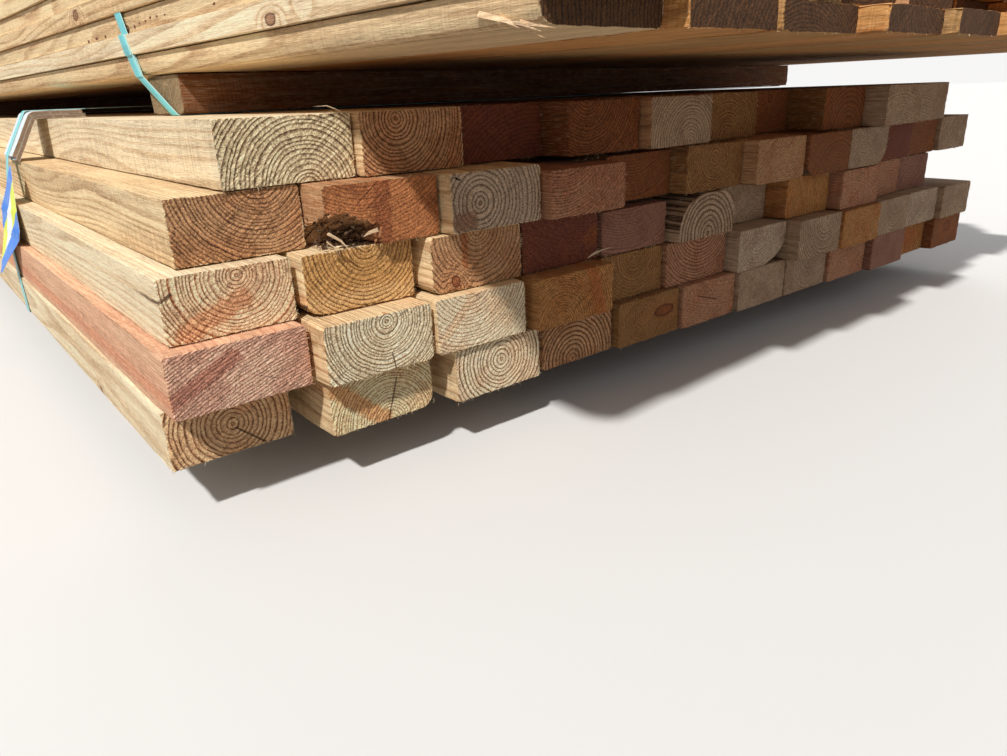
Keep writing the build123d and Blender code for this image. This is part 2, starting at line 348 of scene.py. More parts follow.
def saw(
    bundle,
    stick,
    log,
    seed,
    wane=None,
    pitch=9 * mm,
    first=1.4 * mm,
    growth=1.5,
    torn=0.5,
    reshape=None,
):
    """Adds one sawn stick: wandering faces, worn arrises, and ends whose rims the saw has torn."""
    outline, bark = section(stick.width, stick.thickness, wane or {}, pitch)
    along = stations(stick.length, first, longest_step, growth)
    count = len(outline)
    rows = np.zeros((len(along), count, 3))
    rows[..., 0] = outline[:, 0]
    rows[..., 1] = along[:, None]
    rows[..., 2] = outline[:, 1]
    middle_x, middle_z = 0.5 * stick.width, 0.5 * stick.thickness
    if reshape:
        rows = reshape(rows)
        middle_x, middle_z = 0.6 * stick.width, 0.78 * stick.thickness
    before = (np.roll(rows, 1, axis=1) - rows)[..., (0, 2)]
    after = (np.roll(rows, -1, axis=1) - rows)[..., (0, 2)]
    chord = after - before
    chord /= np.maximum(np.linalg.norm(chord, axis=-1, keepdims=True), 1e-9)
    inward = np.stack([-chord[..., 1], chord[..., 0]], axis=-1)
    bend = np.abs(before[..., 0] * after[..., 1] - before[..., 1] * after[..., 0])
    sides = np.linalg.norm(before, axis=-1) * np.linalg.norm(after, axis=-1)
    edge = np.clip(1.4 * bend / np.maximum(sides, 1e-12), 0, 1)
    from_end = np.minimum(along, stick.length - along)[:, None]
    depth = 0.1 * mm + face_wander * ripple(rows, 160 * mm, seed)
    wear = np.maximum(ripple(rows, 34 * mm, seed + 1) - 0.35, 0)
    depth += edge * wear * (arris_wear + end_wear * np.exp(-from_end / wear_reach))
    depth += torn * edge * np.exp(-from_end / edge_reach) * dice.uniform(0, edge_tear, depth.shape)
    depth += torn * np.exp(-from_end / rim_reach) * dice.uniform(0, rim_tear, depth.shape)
    rows[..., 0] += inward[..., 0] * depth
    rows[..., 2] += inward[..., 1] * depth
    rows[0, :, 1] += torn * dice.uniform(0, end_tear, count)
    rows[-1, :, 1] -= torn * dice.uniform(0, end_tear, count)
    here = np.arange(count)
    beyond = np.roll(here, -1)
    peeled = np.minimum(bark, np.roll(bark, -1))
    quads, marks, triangles = [], [], []
    for row in range(len(along) - 1):
        start, end = row * count, (row + 1) * count
        quads.append(np.stack([here + start, here + end, beyond + end, beyond + start], axis=1))
        marks.append(np.stack([0 * peeled, 0 * peeled, peeled], axis=1))
    points = [rows.reshape(-1, 3)]
    total = len(along) * count
    for row, forwards in ((0, True), (-1, False)):
        rim = rows[row].copy()
        middle = np.array([middle_x, along[row], middle_z])
        outer = here + (0 if forwards else (len(along) - 1) * count)
        for share in cap_rings:
            ring = middle + (rim - middle) * share
            sunk = 0.5 * mm * ripple(ring, 26 * mm, seed + 5)
            ring[:, 1] = along[row] + (sunk if forwards else -sunk)
            inner = here + total
            total += count
            points.append(ring)
            belt = np.stack([outer, np.roll(outer, -1), np.roll(inner, -1), inner], axis=1)
            quads.append(belt if forwards else belt[:, ::-1])
            marks.append(np.tile((1.0, 0.0, 0.0), (count, 1)))
            outer = inner
        points.append(middle[None])
        fan = np.stack([np.full(count, total), outer, np.roll(outer, -1)], axis=1)
        total += 1
        triangles.append(fan if forwards else fan[:, ::-1])
    triangles = np.concatenate(triangles)
    caps = np.tile((1.0, 0.0, 0.0), (len(triangles), 1))
    ends = np.arange(total) >= len(along) * count
    whole = np.concatenate(points)
    bundle.add(
        stick, log, seed, whole, np.concatenate(quads), triangles, np.concatenate(marks), caps, ends
    )


class Wiring:
    """Adds and joins a tree's nodes. A value is a number, a tuple or another node's output."""

    def __init__(self, tree):
        self.tree = tree

    def put(self, socket, value):
        if isinstance(value, bpy.types.NodeSocket):
            self.tree.links.new(value, socket)
        else:
            socket.default_value = value

    def node(self, kind, values=None, **settings):
        made = self.tree.nodes.new(kind)
        for name, setting in settings.items():
            setattr(made, name, setting)
        for name, value in (values or {}).items():
            self.put(made.inputs[name], value)
        return made

    def group(self, group, **values):
        return self.node(
            "ShaderNodeGroup", {
                key.replace("_", " "): v for key, v in values.items()
            }, node_tree=group
        ).outputs

    def math(self, operation, *values):
        made = self.node("ShaderNodeMath", operation=operation)
        for socket, value in zip(made.inputs, values):
            self.put(socket, value)
        return made.outputs[0]

    def times(self, first, second):
        return self.math("MULTIPLY", first, second)

    def plus(self, first, second):
        return self.math("ADD", first, second)

    def minus(self, first, second):
        return self.math("SUBTRACT", first, second)

    def over(self, first, second):
        return self.math("DIVIDE", first, second)

    def most(self, first, second):
        return self.math("MAXIMUM", first, second)

    def times_plus(self, first, second, third):
        return self.math("MULTIPLY_ADD", first, second, third)

    def vector(self, operation, *values, scale=None):
        made = self.node("ShaderNodeVectorMath", operation=operation)
        for socket, value in zip(made.inputs, values):
            self.put(socket, value)
        if scale is not None:
            self.put(made.inputs["Scale"], scale)
        return made.outputs["Value" if operation in ("LENGTH", "DOT_PRODUCT") else "Vector"]

    def split(self, vector):
        return self.node("ShaderNodeSeparateXYZ", {0: vector}).outputs

    def join(self, x, y, z):
        return self.node("ShaderNodeCombineXYZ", {0: x, 1: y, 2: z}).outputs[0]

    def ramp(self, value, start, end, low=0.0, high=1.0, smooth=True):
        ends = {"Value": value, "From Min": start, "From Max": end, "To Min": low, "To Max": high}
        kind = "SMOOTHSTEP" if smooth else "LINEAR"
        return self.node("ShaderNodeMapRange", ends, interpolation_type=kind).outputs[0]

    def blend(self, share, first, second):
        made = self.node("ShaderNodeMix", data_type="RGBA")
        self.put(made.inputs[0], share)
        self.put(made.inputs[6], first)
        self.put(made.inputs[7], second)
        return made.outputs[2]

    def noise(self, at, scale=1.0, detail=2.0, rough=0.5, colour=False):
        values = {"Vector": at, "Scale": scale, "Detail": detail, "Roughness": rough}
        return self.node("ShaderNodeTexNoise", values).outputs["Color" if colour else "Fac"]

    def row_noise(self, at):
        values = {"W": at, "Scale": 1.0, "Detail": 0.0}
        return self.node("ShaderNodeTexNoise", values, noise_dimensions="1D").outputs["Fac"]

    def mark(self, name, output="Vector"):
        return self.node("ShaderNodeAttribute", attribute_name=name).outputs[output]

    def raise_surface(self, shader, height):
        """Bumps a shader's surface by a height in metres."""
        bump = self.node("ShaderNodeBump", {"Height": height, "Distance": 1.0})
        self.put(shader.inputs["Normal"], bump.outputs["Normal"])


def new_material(name):
    """A named material, its wiring and its shader."""
    material = bpy.data.materials.new(name)
    material.use_nodes = True
    return material, Wiring(material.node_tree), material.node_tree.nodes["Principled BSDF"]


def new_group(name, inputs, outputs):
    """An empty node group with named sockets, its wiring, and its two ends."""
    group = bpy.data.node_groups.new(name, "ShaderNodeTree")
    for direction, sockets in (("INPUT", inputs), ("OUTPUT", outputs)):
        for socket, kind in sockets.items():
            group.interface.new_socket(socket, in_out=direction, socket_type=f"NodeSocket{kind}")
    wire = Wiring(group)
    return group, wire, wire.node("NodeGroupInput").outputs, wire.node("NodeGroupOutput").inputs


branch_spacing = 420.0


def growth_rings():
    """The log's yearly rings round a wandering pith, swept aside by the knots of its branches."""
    group, wire, given, out = new_group(
        "growth rings",
        {"Point": "Vector", "Pith": "Vector", "Lean": "Vector", "Own Swirl": "Float"},
        {"Late": "Float", "Radius": "Float", "Year": "Float", "Knot": "Float", "Swirl": "Float"},
    )
    at = given["Point"]
    _, along, _ = wire.split(at)
    pith_x, pith_z, ring = wire.split(given["Pith"])
    lean_x, seed, lean_z = wire.split(given["Lean"])
    slow = wire.join(wire.times(seed, 3.7), wire.over(along, 620.0), seed)
    drift = wire.vector("SUBTRACT", wire.noise(slow, detail=1.0, colour=True), (0.5, 0.5, 0.5))
    start = wire.join(wire.times(seed, 3.7), 0.0, seed)
    drift_at_start = wire.vector(
        "SUBTRACT", wire.noise(start, detail=1.0, colour=True), (0.5, 0.5, 0.5)
    )
    drift = wire.vector("SUBTRACT", drift, drift_at_start)
    metres = wire.over(along, 1000.0)
    centre_x = wire.times_plus(lean_x, metres, pith_x)
    centre_z = wire.times_plus(lean_z, metres, pith_z)
    centre = wire.vector(
        "ADD", wire.join(centre_x, along, centre_z), wire.vector("MULTIPLY", drift, (30, 0, 30))
    )
    away = wire.vector("SUBTRACT", at, centre)
    away_x, _, away_z = wire.split(away)
    reach = wire.vector("LENGTH", away)

    # Branches leave the pith at scattered heights and angles
    turns = wire.over(wire.math("ARCTAN2", away_x, away_z), 2 * math.pi)
    spread = wire.plus(wire.over(along, branch_spacing), wire.times(seed, 17.3))
    around = wire.times(turns, 2.0)
    cell_at = {"Vector": wire.join(spread, around, 0.0), "Scale": 1.0}
    cell = wire.node("ShaderNodeTexVoronoi", cell_at, voronoi_dimensions="2D")
    cell_along, cell_round, _ = wire.split(cell.outputs["Position"])
    luck = wire.split(cell.outputs["Color"])[0]
    off_along = wire.times(wire.minus(spread, cell_along), branch_spacing)
    off_round = wire.times(wire.minus(around, cell_round), math.pi)
    off_round = wire.times(off_round, reach)
    off = wire.vector("LENGTH", wire.join(off_along, wire.times(off_round, 1.25), 0.0))
    size = wire.most(wire.times(wire.minus(luck, 0.55), 20.0), 0.01)
    ripples = wire.noise(wire.vector("SCALE", at, scale=0.5))
    off = wire.plus(off, wire.times(wire.minus(ripples, 0.5), 3.0))
    present = wire.times(wire.ramp(size, 2.0, 3.5), wire.ramp(along, 40.0, 90.0))
    knot = wire.minus(1.0, wire.ramp(wire.over(off, size), 0.82, 1.0))
    swirl = wire.minus(1.0, wire.ramp(wire.over(off, size), 0.9, 4.2))
    knot = wire.times(knot, present)
    swirl = wire.times(swirl, present)

    # Rings are uneven in width and waver with the grain
    waver = wire.noise(wire.vector("MULTIPLY", at, (0.05, 0.0035, 0.05)), detail=3.0)
    push = wire.times(wire.minus(waver, 0.5), 4.0)
    bulge = wire.times(wire.times(swirl, size), 1.1)
    bulge = wire.times_plus(given["Own Swirl"], 9.0, bulge)
    radius = wire.plus(wire.plus(reach, push), bulge)
    years = wire.over(radius, ring)
    uneven = wire.row_noise(wire.times_plus(years, 0.33, wire.times(seed, 11.0)))
    years = wire.times_plus(uneven, 1.1, years)
    part = wire.math("FRACT", years)
    year = wire.node("ShaderNodeTexWhiteNoise", noise_dimensions="1D")
    wire.put(year.inputs["W"], wire.plus(wire.math("FLOOR", years), wire.times(seed, 31.0)))
    rise = wire.ramp(part, 0.4, 0.86)
    fall = wire.ramp(part, 0.92, 1.0)
    late = wire.times(rise, wire.minus(1.0, fall))
    late = wire.times(late, wire.times_plus(year.outputs["Value"], 0.5, 0.7))
    wire.put(out["Late"], late)
    wire.put(out["Radius"], radius)
    wire.put(out["Year"], year.outputs["Value"])
    wire.put(out["Knot"], knot)
    wire.put(out["Swirl"], swirl)
    return group


def saw_marks():
    """Ridges that the saw leaves: across the long faces, and at two slants on the ends."""
    group, wire, given, out = new_group(
        "saw marks", {"Point": "Vector", "Seed": "Float", "End": "Float"}, {"Height": "Float"}
    )
    across, along, up = wire.split(given["Point"])
    seed = wire.times(given["Seed"], 5.3)
    blade = wire.times_plus(up, 0.05, wire.times_plus(across, 0.03, along))
    drag = wire.times(wire.plus(across, up), 0.02)
    side = wire.noise(wire.join(wire.times(blade, 0.42), drag, seed), detail=1.0)
    slant = wire.times_plus(wire.math("SINE", seed), 0.5, 0.7)
    first = wire.times_plus(up, slant, across)
    second = wire.minus(wire.times(up, 1.3), across)
    low = wire.times(up, 0.03)
    rake = wire.noise(wire.join(wire.times(first, 0.34), low, seed), detail=1.5)
    cross = wire.noise(wire.join(wire.times(second, 0.22), low, wire.plus(seed, 9.0)), detail=1.0)
    patch = wire.ramp(wire.noise(wire.join(wire.times(across, 0.03), low, seed)), 0.4, 0.6)
    end = wire.times_plus(rake, patch, wire.times(cross, wire.minus(1.0, patch)))
    share = given["End"]
    rest = wire.times(side, wire.minus(1.0, share))
    wire.put(out["Height"], wire.ramp(wire.times_plus(end, share, rest), 0.3, 0.7))
    return group


def fibres():
    """Straw-like fibres along the grain, torn hairs on the long faces, and pits on the ends."""
    group, wire, given, out = new_group(
        "fibres",
        {"Point": "Vector", "Seed": "Float"},
        {"Fine": "Float", "Coarse": "Float", "Blotch": "Float", "Speck": "Float"},
    )
    seed = wire.times(given["Seed"], 1.7)
    at = wire.vector("ADD", given["Point"], wire.join(seed, wire.times(seed, 90.0), seed))
    fine = wire.noise(wire.vector("MULTIPLY", at, (1.5, 0.075, 1.5)), detail=3.0, rough=0.65)
    coarse = wire.noise(wire.vector("MULTIPLY", at, (0.3, 0.012, 0.3)), detail=3.0, rough=0.55)
    blotch = wire.noise(wire.vector("MULTIPLY", at, (0.03, 0.0035, 0.03)), detail=2.0)
    speck = wire.noise(wire.vector("MULTIPLY", at, (0.75, 0.2, 0.75)), detail=2.0, rough=0.7)
    for name, value in (("Fine", fine), ("Coarse", coarse), ("Blotch", blotch), ("Speck", speck)):
        wire.put(out[name], value)
    return group


def smears():
    """How near a point is to a band between two points of the end. From and To hold (x, z)."""
    group, wire, given, out = new_group(
        "smears", {
            "Point": "Vector", "From": "Vector", "To": "Vector", "Wobble": "Float"
        }, {"Mask": "Float"}
    )
    x, _, z = wire.split(given["Point"])
    from_x, from_z, wide = wire.split(given["From"])
    to_x, to_z, _ = wire.split(given["To"])
    here = wire.join(wire.minus(x, from_x), wire.minus(z, from_z), 0.0)
    whole = wire.join(wire.minus(to_x, from_x), wire.minus(to_z, from_z), 0.0)
    reach = wire.most(wire.vector("DOT_PRODUCT", whole, whole), 0.01)
    share = wire.over(wire.vector("DOT_PRODUCT", here, whole), reach)
    share = wire.math("MINIMUM", wire.most(share, 0.0), 1.0)
    off = wire.vector(
        "LENGTH", wire.vector("SUBTRACT", here, wire.vector("SCALE", whole, scale=share))
    )
    off = wire.over(off, wire.most(wide, 0.1))
    off = wire.plus(off, wire.times(wire.minus(given["Wobble"], 0.5), 1.2))
    wire.put(out["Mask"], wire.minus(1.0, wire.ramp(off, 0.6, 1.25)))
    return group


ring_group = growth_rings()
mark_group = saw_marks()
fibre_group = fibres()
smear_group = smears()


wood_marks = {
    "crack": (58, 34, 22),
    "knot halo": (176, 108, 62),
    "knot": (140, 78, 44),
    "knot rim": (72, 36, 24),
    "bark": (74, 54, 36),
    "fuzz highlight": (250, 230, 196),
    "hair": (240, 216, 180),
    "dust": (150, 138, 122),
}


def sawn_wood(name, dust=0.0):
    """Rough-sawn wood whose tone, rings, stains and knots come from the sticks' own values."""
    material, wire, shader = new_material(name)
    point = wire.vector("SCALE", wire.mark("board_point"), scale=1000.0)
    along = wire.split(point)[1]
    contrast, heart, marks = wire.split(wire.mark("habit"))
    lean = wire.mark("lean")
    seed = wire.split(lean)[1]
    end = wire.mark("end_face", "Fac")
    hair = wire.mark("fuzz", "Fac")
    bark = wire.mark("bark", "Fac")
    side = wire.minus(1.0, end)
    early, late_tone, accent = (wire.mark(key, "Color") for key in ("early", "late", "accent"))
    fibre = wire.group(fibre_group, Point=point, Seed=seed)
    fine, coarse, blotch, speck = (fibre[key] for key in ("Fine", "Coarse", "Blotch", "Speck"))
    line = wire.group(mark_group, Point=point, Seed=seed, End=end)["Height"]

    # The stick's own knot, if it has one, is an oval that turns the rings aside
    off = wire.vector(
        "DIVIDE", wire.vector("SUBTRACT", point, wire.mark("knot")), wire.mark("knot_size")
    )
    spot = wire.times_plus(wire.minus(coarse, 0.5), 0.5, wire.vector("LENGTH", off))
    own_knot = wire.minus(1.0, wire.ramp(spot, 0.85, 1.1))
    own_rim = wire.times(own_knot, wire.ramp(spot, 0.5, 0.95))
    own_swirl = wire.minus(1.0, wire.ramp(spot, 0.9, 3.2))
    rings = wire.group(
        ring_group, Point=point, Pith=wire.mark("pith"), Lean=lean, Own_Swirl=own_swirl
    )
    late, radius, year, knot, swirl = (
        rings[key] for key in ("Late", "Radius", "Year", "Knot", "Swirl")
    )

    # Rings show fully on the ends, and fuzz veils them on the long faces
    ring_share = wire.times(wire.times(late, contrast), wire.times_plus(end, 0.5, 0.7))
    ring_share = wire.times(ring_share, wire.ramp(coarse, 0.25, 0.7, 1.2, 0.7))
    colour = wire.blend(ring_share, early, late_tone)
    dark_accent = wire.blend(ring_share, accent, late_tone)
    heartwood = wire.times(wire.ramp(wire.minus(heart, radius), -2.0, 2.0), 0.75)
    blotched = wire.times(wire.ramp(blotch, 0.44, 0.62), wire.split(wire.mark("crack_to"))[2])
    stain_from, stain_to = wire.mark("stain_from"), wire.mark("stain_to")
    stain = wire.group(
        smear_group, Point=point, From=stain_from, To=stain_to, Wobble=coarse
    )["Mask"]
    stain = wire.times(stain, wire.split(stain_to)[2])
    stained = wire.most(wire.most(heartwood, blotched), stain)
    colour = wire.blend(stained, colour, dark_accent)
    crack = wire.group(
        smear_group,
        Point=point,
        From=wire.mark("crack_from"),
        To=wire.mark("crack_to"),
        Wobble=fine,
    )["Mask"]
    crack = wire.times(crack, wire.ramp(along, 20.0, 80.0, 0.8, 0.0))
    colour = wire.blend(crack, colour, linear(wood_marks["crack"]))
    knot = wire.most(knot, own_knot)
    swirl = wire.most(swirl, own_swirl)
    colour = wire.blend(wire.times(swirl, 0.22), colour, linear(wood_marks["knot halo"]))
    colour = wire.blend(wire.times(knot, 0.75), colour, linear(wood_marks["knot"]))
    colour = wire.blend(wire.times(own_rim, 0.75), colour, linear(wood_marks["knot rim"]))
    colour = wire.blend(
        wire.times(bark, wire.ramp(coarse, 0.42, 0.6)), colour, linear(wood_marks["bark"])
    )

    # Fibres, pits, saw lines and hairs lighten and darken it
    shade = wire.ramp(fine, 0.28, 0.72, 0.7, 1.2, smooth=False)
    shade = wire.times(shade, wire.ramp(coarse, 0.25, 0.75, 0.84, 1.12, smooth=False))
    pits = wire.ramp(speck, 0.32, 0.68, 0.7, 1.7, smooth=False)
    shade = wire.times(shade, wire.times_plus(wire.minus(pits, 1.0), end, 1.0))
    ageing = wire.times(wire.minus(year, 0.5), wire.times(contrast, 0.24))
    shade = wire.times(shade, wire.plus(ageing, 1.0))
    # Saw lines darken the colour where their height dips: painted shade in the saw grooves
    marked = wire.times(marks, wire.times_plus(end, 0.22, wire.ramp(blotch, 0.4, 0.6, 0.04, 0.26)))
    depth = wire.times(wire.minus(1.0, line), marked)
    colour = wire.vector("SCALE", colour, scale=wire.minus(shade, depth))
    colour = wire.vector("MINIMUM", colour, (0.94, 0.92, 0.9))
    # Pale fuzz on the long faces: partly the torn fibres' own paler colour, partly painted
    # highlight on them
    fuzz_highlight = wire.times(wire.times(side, wire.ramp(fine, 0.52, 0.7)), 0.5)
    colour = wire.blend(fuzz_highlight, colour, wire.blend(0.6, early, linear(wood_marks["fuzz highlight"])))
    colour = wire.blend(wire.times(hair, 0.75), colour, linear(wood_marks["hair"]))
    if dust:
        colour = wire.blend(
            wire.times(wire.ramp(coarse, 0.4, 0.7), dust), colour, linear(wood_marks["dust"])
        )
    wire.put(shader.inputs["Base Color"], colour)
    wire.put(shader.inputs["Roughness"], wire.ramp(fine, 0.2, 0.8, 0.72, 0.94, smooth=False))
    wire.put(shader.inputs["Specular IOR Level"], 0.22)

    # Heights are in metres: late growth stands proud, fibres, pits and saw lines roughen it
    ridge = wire.times(wire.times(late, contrast), wire.ramp(end, 0.0, 1.0, 0.1 * mm, 0.5 * mm))
    rough = wire.times(fine, wire.ramp(end, 0.0, 1.0, 0.45 * mm, 0.3 * mm))
    bumps = wire.times(coarse, 0.8 * mm)
    lines = wire.times(wire.times(line, marks), wire.ramp(end, 0.0, 1.0, 0.35 * mm, 0.8 * mm))
    pitted = wire.times(wire.times(speck, end), 1.0 * mm)
    height = wire.plus(wire.plus(ridge, rough), wire.plus(bumps, wire.plus(lines, pitted)))
    wire.raise_surface(shader, height)
    return material


board_wood = sawn_wood("sawn_boards")
dunnage_wood = sawn_wood("sawn_dunnage", dust=0.35)

for number, node in enumerate(("bearer_front", "bearer_rear")):
    bundle = Bundle()
    for stick in sticks_in(node, crosswise=True):
        saw(bundle, stick, Log("weathered", (40, -30), 4.0, 0.6, marks=0.8), 900 + number)
    bundle.piece(f"{node}_stick", dunnage_wood, node)

# Lower pack: five courses of rough-sawn full two by fours, cut from many logs. Each end shows its
# own rings, stains and saw lines, some arrises keep the log's round, and one end is part rotten.
lower_logs = {
    1: [
        Log("pale", (52, 26), 4.0, 0.85, end="copper", crack=(54, 22, 76, 2, 0.9)),
        Log(
            "straw", (56, 0), 2.8, 0.7, end="butter", stain=(5, 42, 50, 3, 8),
            crack=(65, 37, 54, 2, 0.9),
        ),
        Log("straw", (53, 31), 4.0, 0.85, end="cream"),
        Log("tan", (42, 5), 4.5, 1.0, end="tan"),
        Log("olive", (43, 32), 2.6, 0.5, end="olive", knot=(76, 0, 29), knot_size=(18, 50, 7)),
        Log("blush", (100, 250), 3.0, 0.35, crack=(28, 35, 66, 24, 0.8)),
        Log("grey_tan", (100, 10), 3.0, 0.45),
        Log("grey_tan", (56, 39), 3.0, 0.65),
        Log("blush", (30, 120), 3.0, 0.3),
        Log("plum", (10, 200), 3.0, 0.3),
        Log("ochre", (120, 60), 4.0, 0.7, blotch=0.6),
        Log("umber", (53, 32), 4.0, 0.4, blotch=0.6, knot=(53, 0, 32), knot_size=(15, 50, 9)),
    ],
    2: [
        Log("salmon", (178, -290), 2.5, 0.7, end="mauve", stain=(0, 14, 50, 39, 7), stained=0.6),
        Log("straw", (57, 44), 3.0, 1.0, end="ivory", crack=(60, 16, 62, 0, 0.8)),
        Log("straw", (38, 70), 3.3, 0.6, end="cream", stain=(4, 12, 44, 50, 5), stained=0.3),
        Log("ochre", (30, 2), 2.5, 0.7, stain=(84, 0, 72, 48, 9), stained=0.5),
        Log("olive", (56, 47), 3.5, 0.6),
        Log("blush", (62, 75), 3.8, 0.9),
        Log("ashen", (40, 39), 3.5, 0.5),
        Log("grey_tan", (63, 47), 4.0, 0.6),
        Log("ochre", (48, 14), 3.5, 0.5),
        Log("grey_tan", (60, 40), 4.0, 0.6),
        Log("ashen", (51, 45), 4.0, 0.5),
        Log("grey_tan", (60, 25), 3.0, 0.6),
    ],
    3: [
        Log(
            "pale", (58, 44), 3.2, 0.85, end="peach", stain=(16, 8, 60, 26, 9), stained=0.6,
            crack=(0, 33, 9, 38, 1.4),
        ),
        Log("straw", (58, 54), 3.4, 0.75, end="khaki", stain=(0, 4, 100, 2, 15), stained=0.8),
        Log(
            "straw", (51, 52), 3.8, 0.7, end="tan", stain=(37, 50, 36, 22, 4), knot=(25, 0, 9),
            knot_size=(5, 40, 6),
        ),
        Log("maroon", (90, 150), 3.0, 0.35, stain=(90, 21, 96, 26, 9)),
        Log("plum", (40, 130), 3.0, 0.5),
        Log("grey_tan", (52, 5), 6.0, 1.0),
        Log("grey_tan", (80, -60), 3.0, 0.4),
        Log("ochre", (130, 10), 4.0, 0.4),
        Log("blush", (20, -90), 3.5, 0.4),
        Log("blush", (60, -70), 3.5, 0.4),
        Log("plum", (50, 70), 3.5, 0.6),
    ],
    4: [
        Log("straw", (72, 62), 3.0, 0.8, end="tan", marks=0.9),
        Log(
            "tan", (40, 120), 3.0, 0.5, end="brick", stain=(52, 50, 50, 4, 9), stained=0.6,
            marks=0.9, blotch=0.4,
        ),
        Log("straw", (31, 24), 4.4, 0.85, end="ashen", stain=(10, 10, 20, 10, 9), stained=0.8),
        Log("blush", (15, 90), 2.7, 0.7),
        Log("umber", (40, 95), 3.0, 0.5),
        Log("olive", (49, 36), 2.7, 0.8),
        Log("tan", (60, 62), 2.2, 0.6),
        Log("umber", (70, -10), 4.0, 0.5),
        Log("grey_tan", (32, 5), 3.0, 0.7),
        Log("maroon", (40, 150), 3.0, 0.3),
        Log("umber", (60, -50), 3.0, 0.4),
        Log("grey_tan", (60, 20), 3.0, 0.5),
    ],
    5: [
        Log("pale", (69, -4), 3.6, 0.8, end="sage", marks=0.9, blotch=0.1),
        Log("straw", (34.5, 44), 3.3, 0.85, end="tan", stain=(90, 4, 94, 30, 8), stained=0.4),
        Log("umber", (90, -60), 4.0, 0.5, end="maroon"),
        Log("umber", (25, 60), 3.0, 0.8),
        Log("tan", (65, 5), 3.5, 0.7, end="grey_tan"),
        Log("olive", (44, 1), 3.0, 0.8),
        Log("umber", (59, 130), 4.0, 0.4, knot=(59, 0, 41), knot_size=(5, 40, 5)),
        Log("olive", (62, -5), 6.0, 0.6, stain=(0, 0, 4, 50, 9), end="umber"),
        Log("grey_tan", (40, -70), 3.0, 0.5),
        Log("grey_tan", (20, -60), 3.0, 0.6),
    ],
}
lower_wanes = {
    (1, 2): {"top right": (16, 12), "bottom right": (12, 10)},
    (2, 7): {"bottom right": (58, 34)},
    (3, 2): {"bottom left": (18, 11)},
    (3, 3): {"bottom left": (10, 9)},
    (3, 6): {"top left": (46, 40), "top right": (24, 20)},
    (4, 8): {"bottom left": (24, 14)},
    (4, 9): {"bottom right": (30, 20)},
}
thin_ends = {(3, 5): 4.5, (4, 4): 6.0, (4, 5): 3.0}
thin_run = 700.0
nearest_boards = 6
rotten_board = (4, 2)
rotten_rim = [(0, 27), (13, 29), (27, 23), (38, 21), (49, 15), (46, 7), (48, 0)]
rotten_depth = 48.0
rotten_floor = 0.45
odd_slivers = {
    (5, 1): [((104, 1, 51.5), (-24, -8, 8), 27, 0.9)],
    (3, 4): [((87, 1, 3), (33, -5, 9), 35, 1.2), ((91, 1, 4), (20, -9, 12), 14, 0.8)],
}


def thin_towards_front(drop):
    """Brings a stick's top face down towards its front end."""

    def reshape(rows):
        top = rows[..., 2].max()
        fall = drop * mm * np.clip(1 - rows[..., 1] / (thin_run * mm), 0, 1)
        rows[..., 2] -= fall * np.clip(rows[..., 2] / top, 0, 1) ** 2
        return rows

    return reshape


def rotten_corner(rows):
    """Eats the pocket out of the lower left of a stick's front end, ragged and narrower inside."""
    rim = np.array(rotten_rim) * mm
    steps = np.concatenate([[0], np.cumsum(np.linalg.norm(np.diff(rim, axis=0), axis=1))])
    flat = rows[0][:, (0, 2)]
    corner = (flat[:, 0] <= rim[-1, 0]) & (flat[:, 1] <= rim[0, 1])
    corner &= (flat[:, 0] < 2 * arris) | (flat[:, 1] < 2 * arris)
    run = np.where(flat[:, 0] < flat[:, 1], rim[0, 1] - flat[:, 1], rim[0, 1] + flat[:, 0])
    share = np.clip(run / (rim[0, 1] + rim[-1, 0]), 0, 1) * steps[-1]
    ragged = np.stack(
        [np.interp(share, steps, rim[:, 0]), np.interp(share, steps, rim[:, 1])], axis=1
    )
    for row in rows:
        depth = row[0, 1] / mm
        if depth > rotten_depth:
            break
        narrow = 1 - (1 - rotten_floor) * (depth / rotten_depth) ** 1.6
        crumbs = dice.normal(0, 1.3 * mm, ragged.shape)
        row[corner, 0] = np.maximum((ragged * narrow + crumbs)[corner, 0], 0)
        row[corner, 2] = np.maximum((ragged * narrow + crumbs)[corner, 1], 0)
    return rows


def slivers(bundle, stick, log, seed, roots, towards, lengths, radii, hair):
    """Adds thin tapering slivers that stand from their roots, each a little bent."""
    points, triangles = [], []
    for root, direction, reach, radius in zip(roots, towards, lengths, radii):
        direction = direction / np.linalg.norm(direction)
        sideways = np.cross(direction, dice.normal(size=3))
        sideways *= radius / np.linalg.norm(sideways)
        across = np.cross(direction, sideways) * 0.6
        bend = dice.normal(0, 0.1, 3) * reach + np.array([0, 0, -0.08 * reach])
        base = len(points)
        ring = [sideways, -0.5 * sideways + 0.87 * across, -0.5 * sideways - 0.87 * across]
        points += [root + side for side in ring]
        points += [root + direction * reach * 0.55 + 0.7 * side for side in ring]
        points.append(root + direction * reach + bend)
        triangles.append((base, base + 2, base + 1))
        for a, b in ((0, 1), (1, 2), (2, 0)):
            triangles.append((base + a, base + b, base + 3 + b))
            triangles.append((base + a, base + 3 + b, base + 3 + a))
            triangles.append((base + 3 + a, base + 3 + b, base + 6))
    marks = np.tile((0.0, hair, 0.0), (len(triangles), 1))
    bundle.add(stick, log, seed, np.array(points), [], triangles, [], marks)


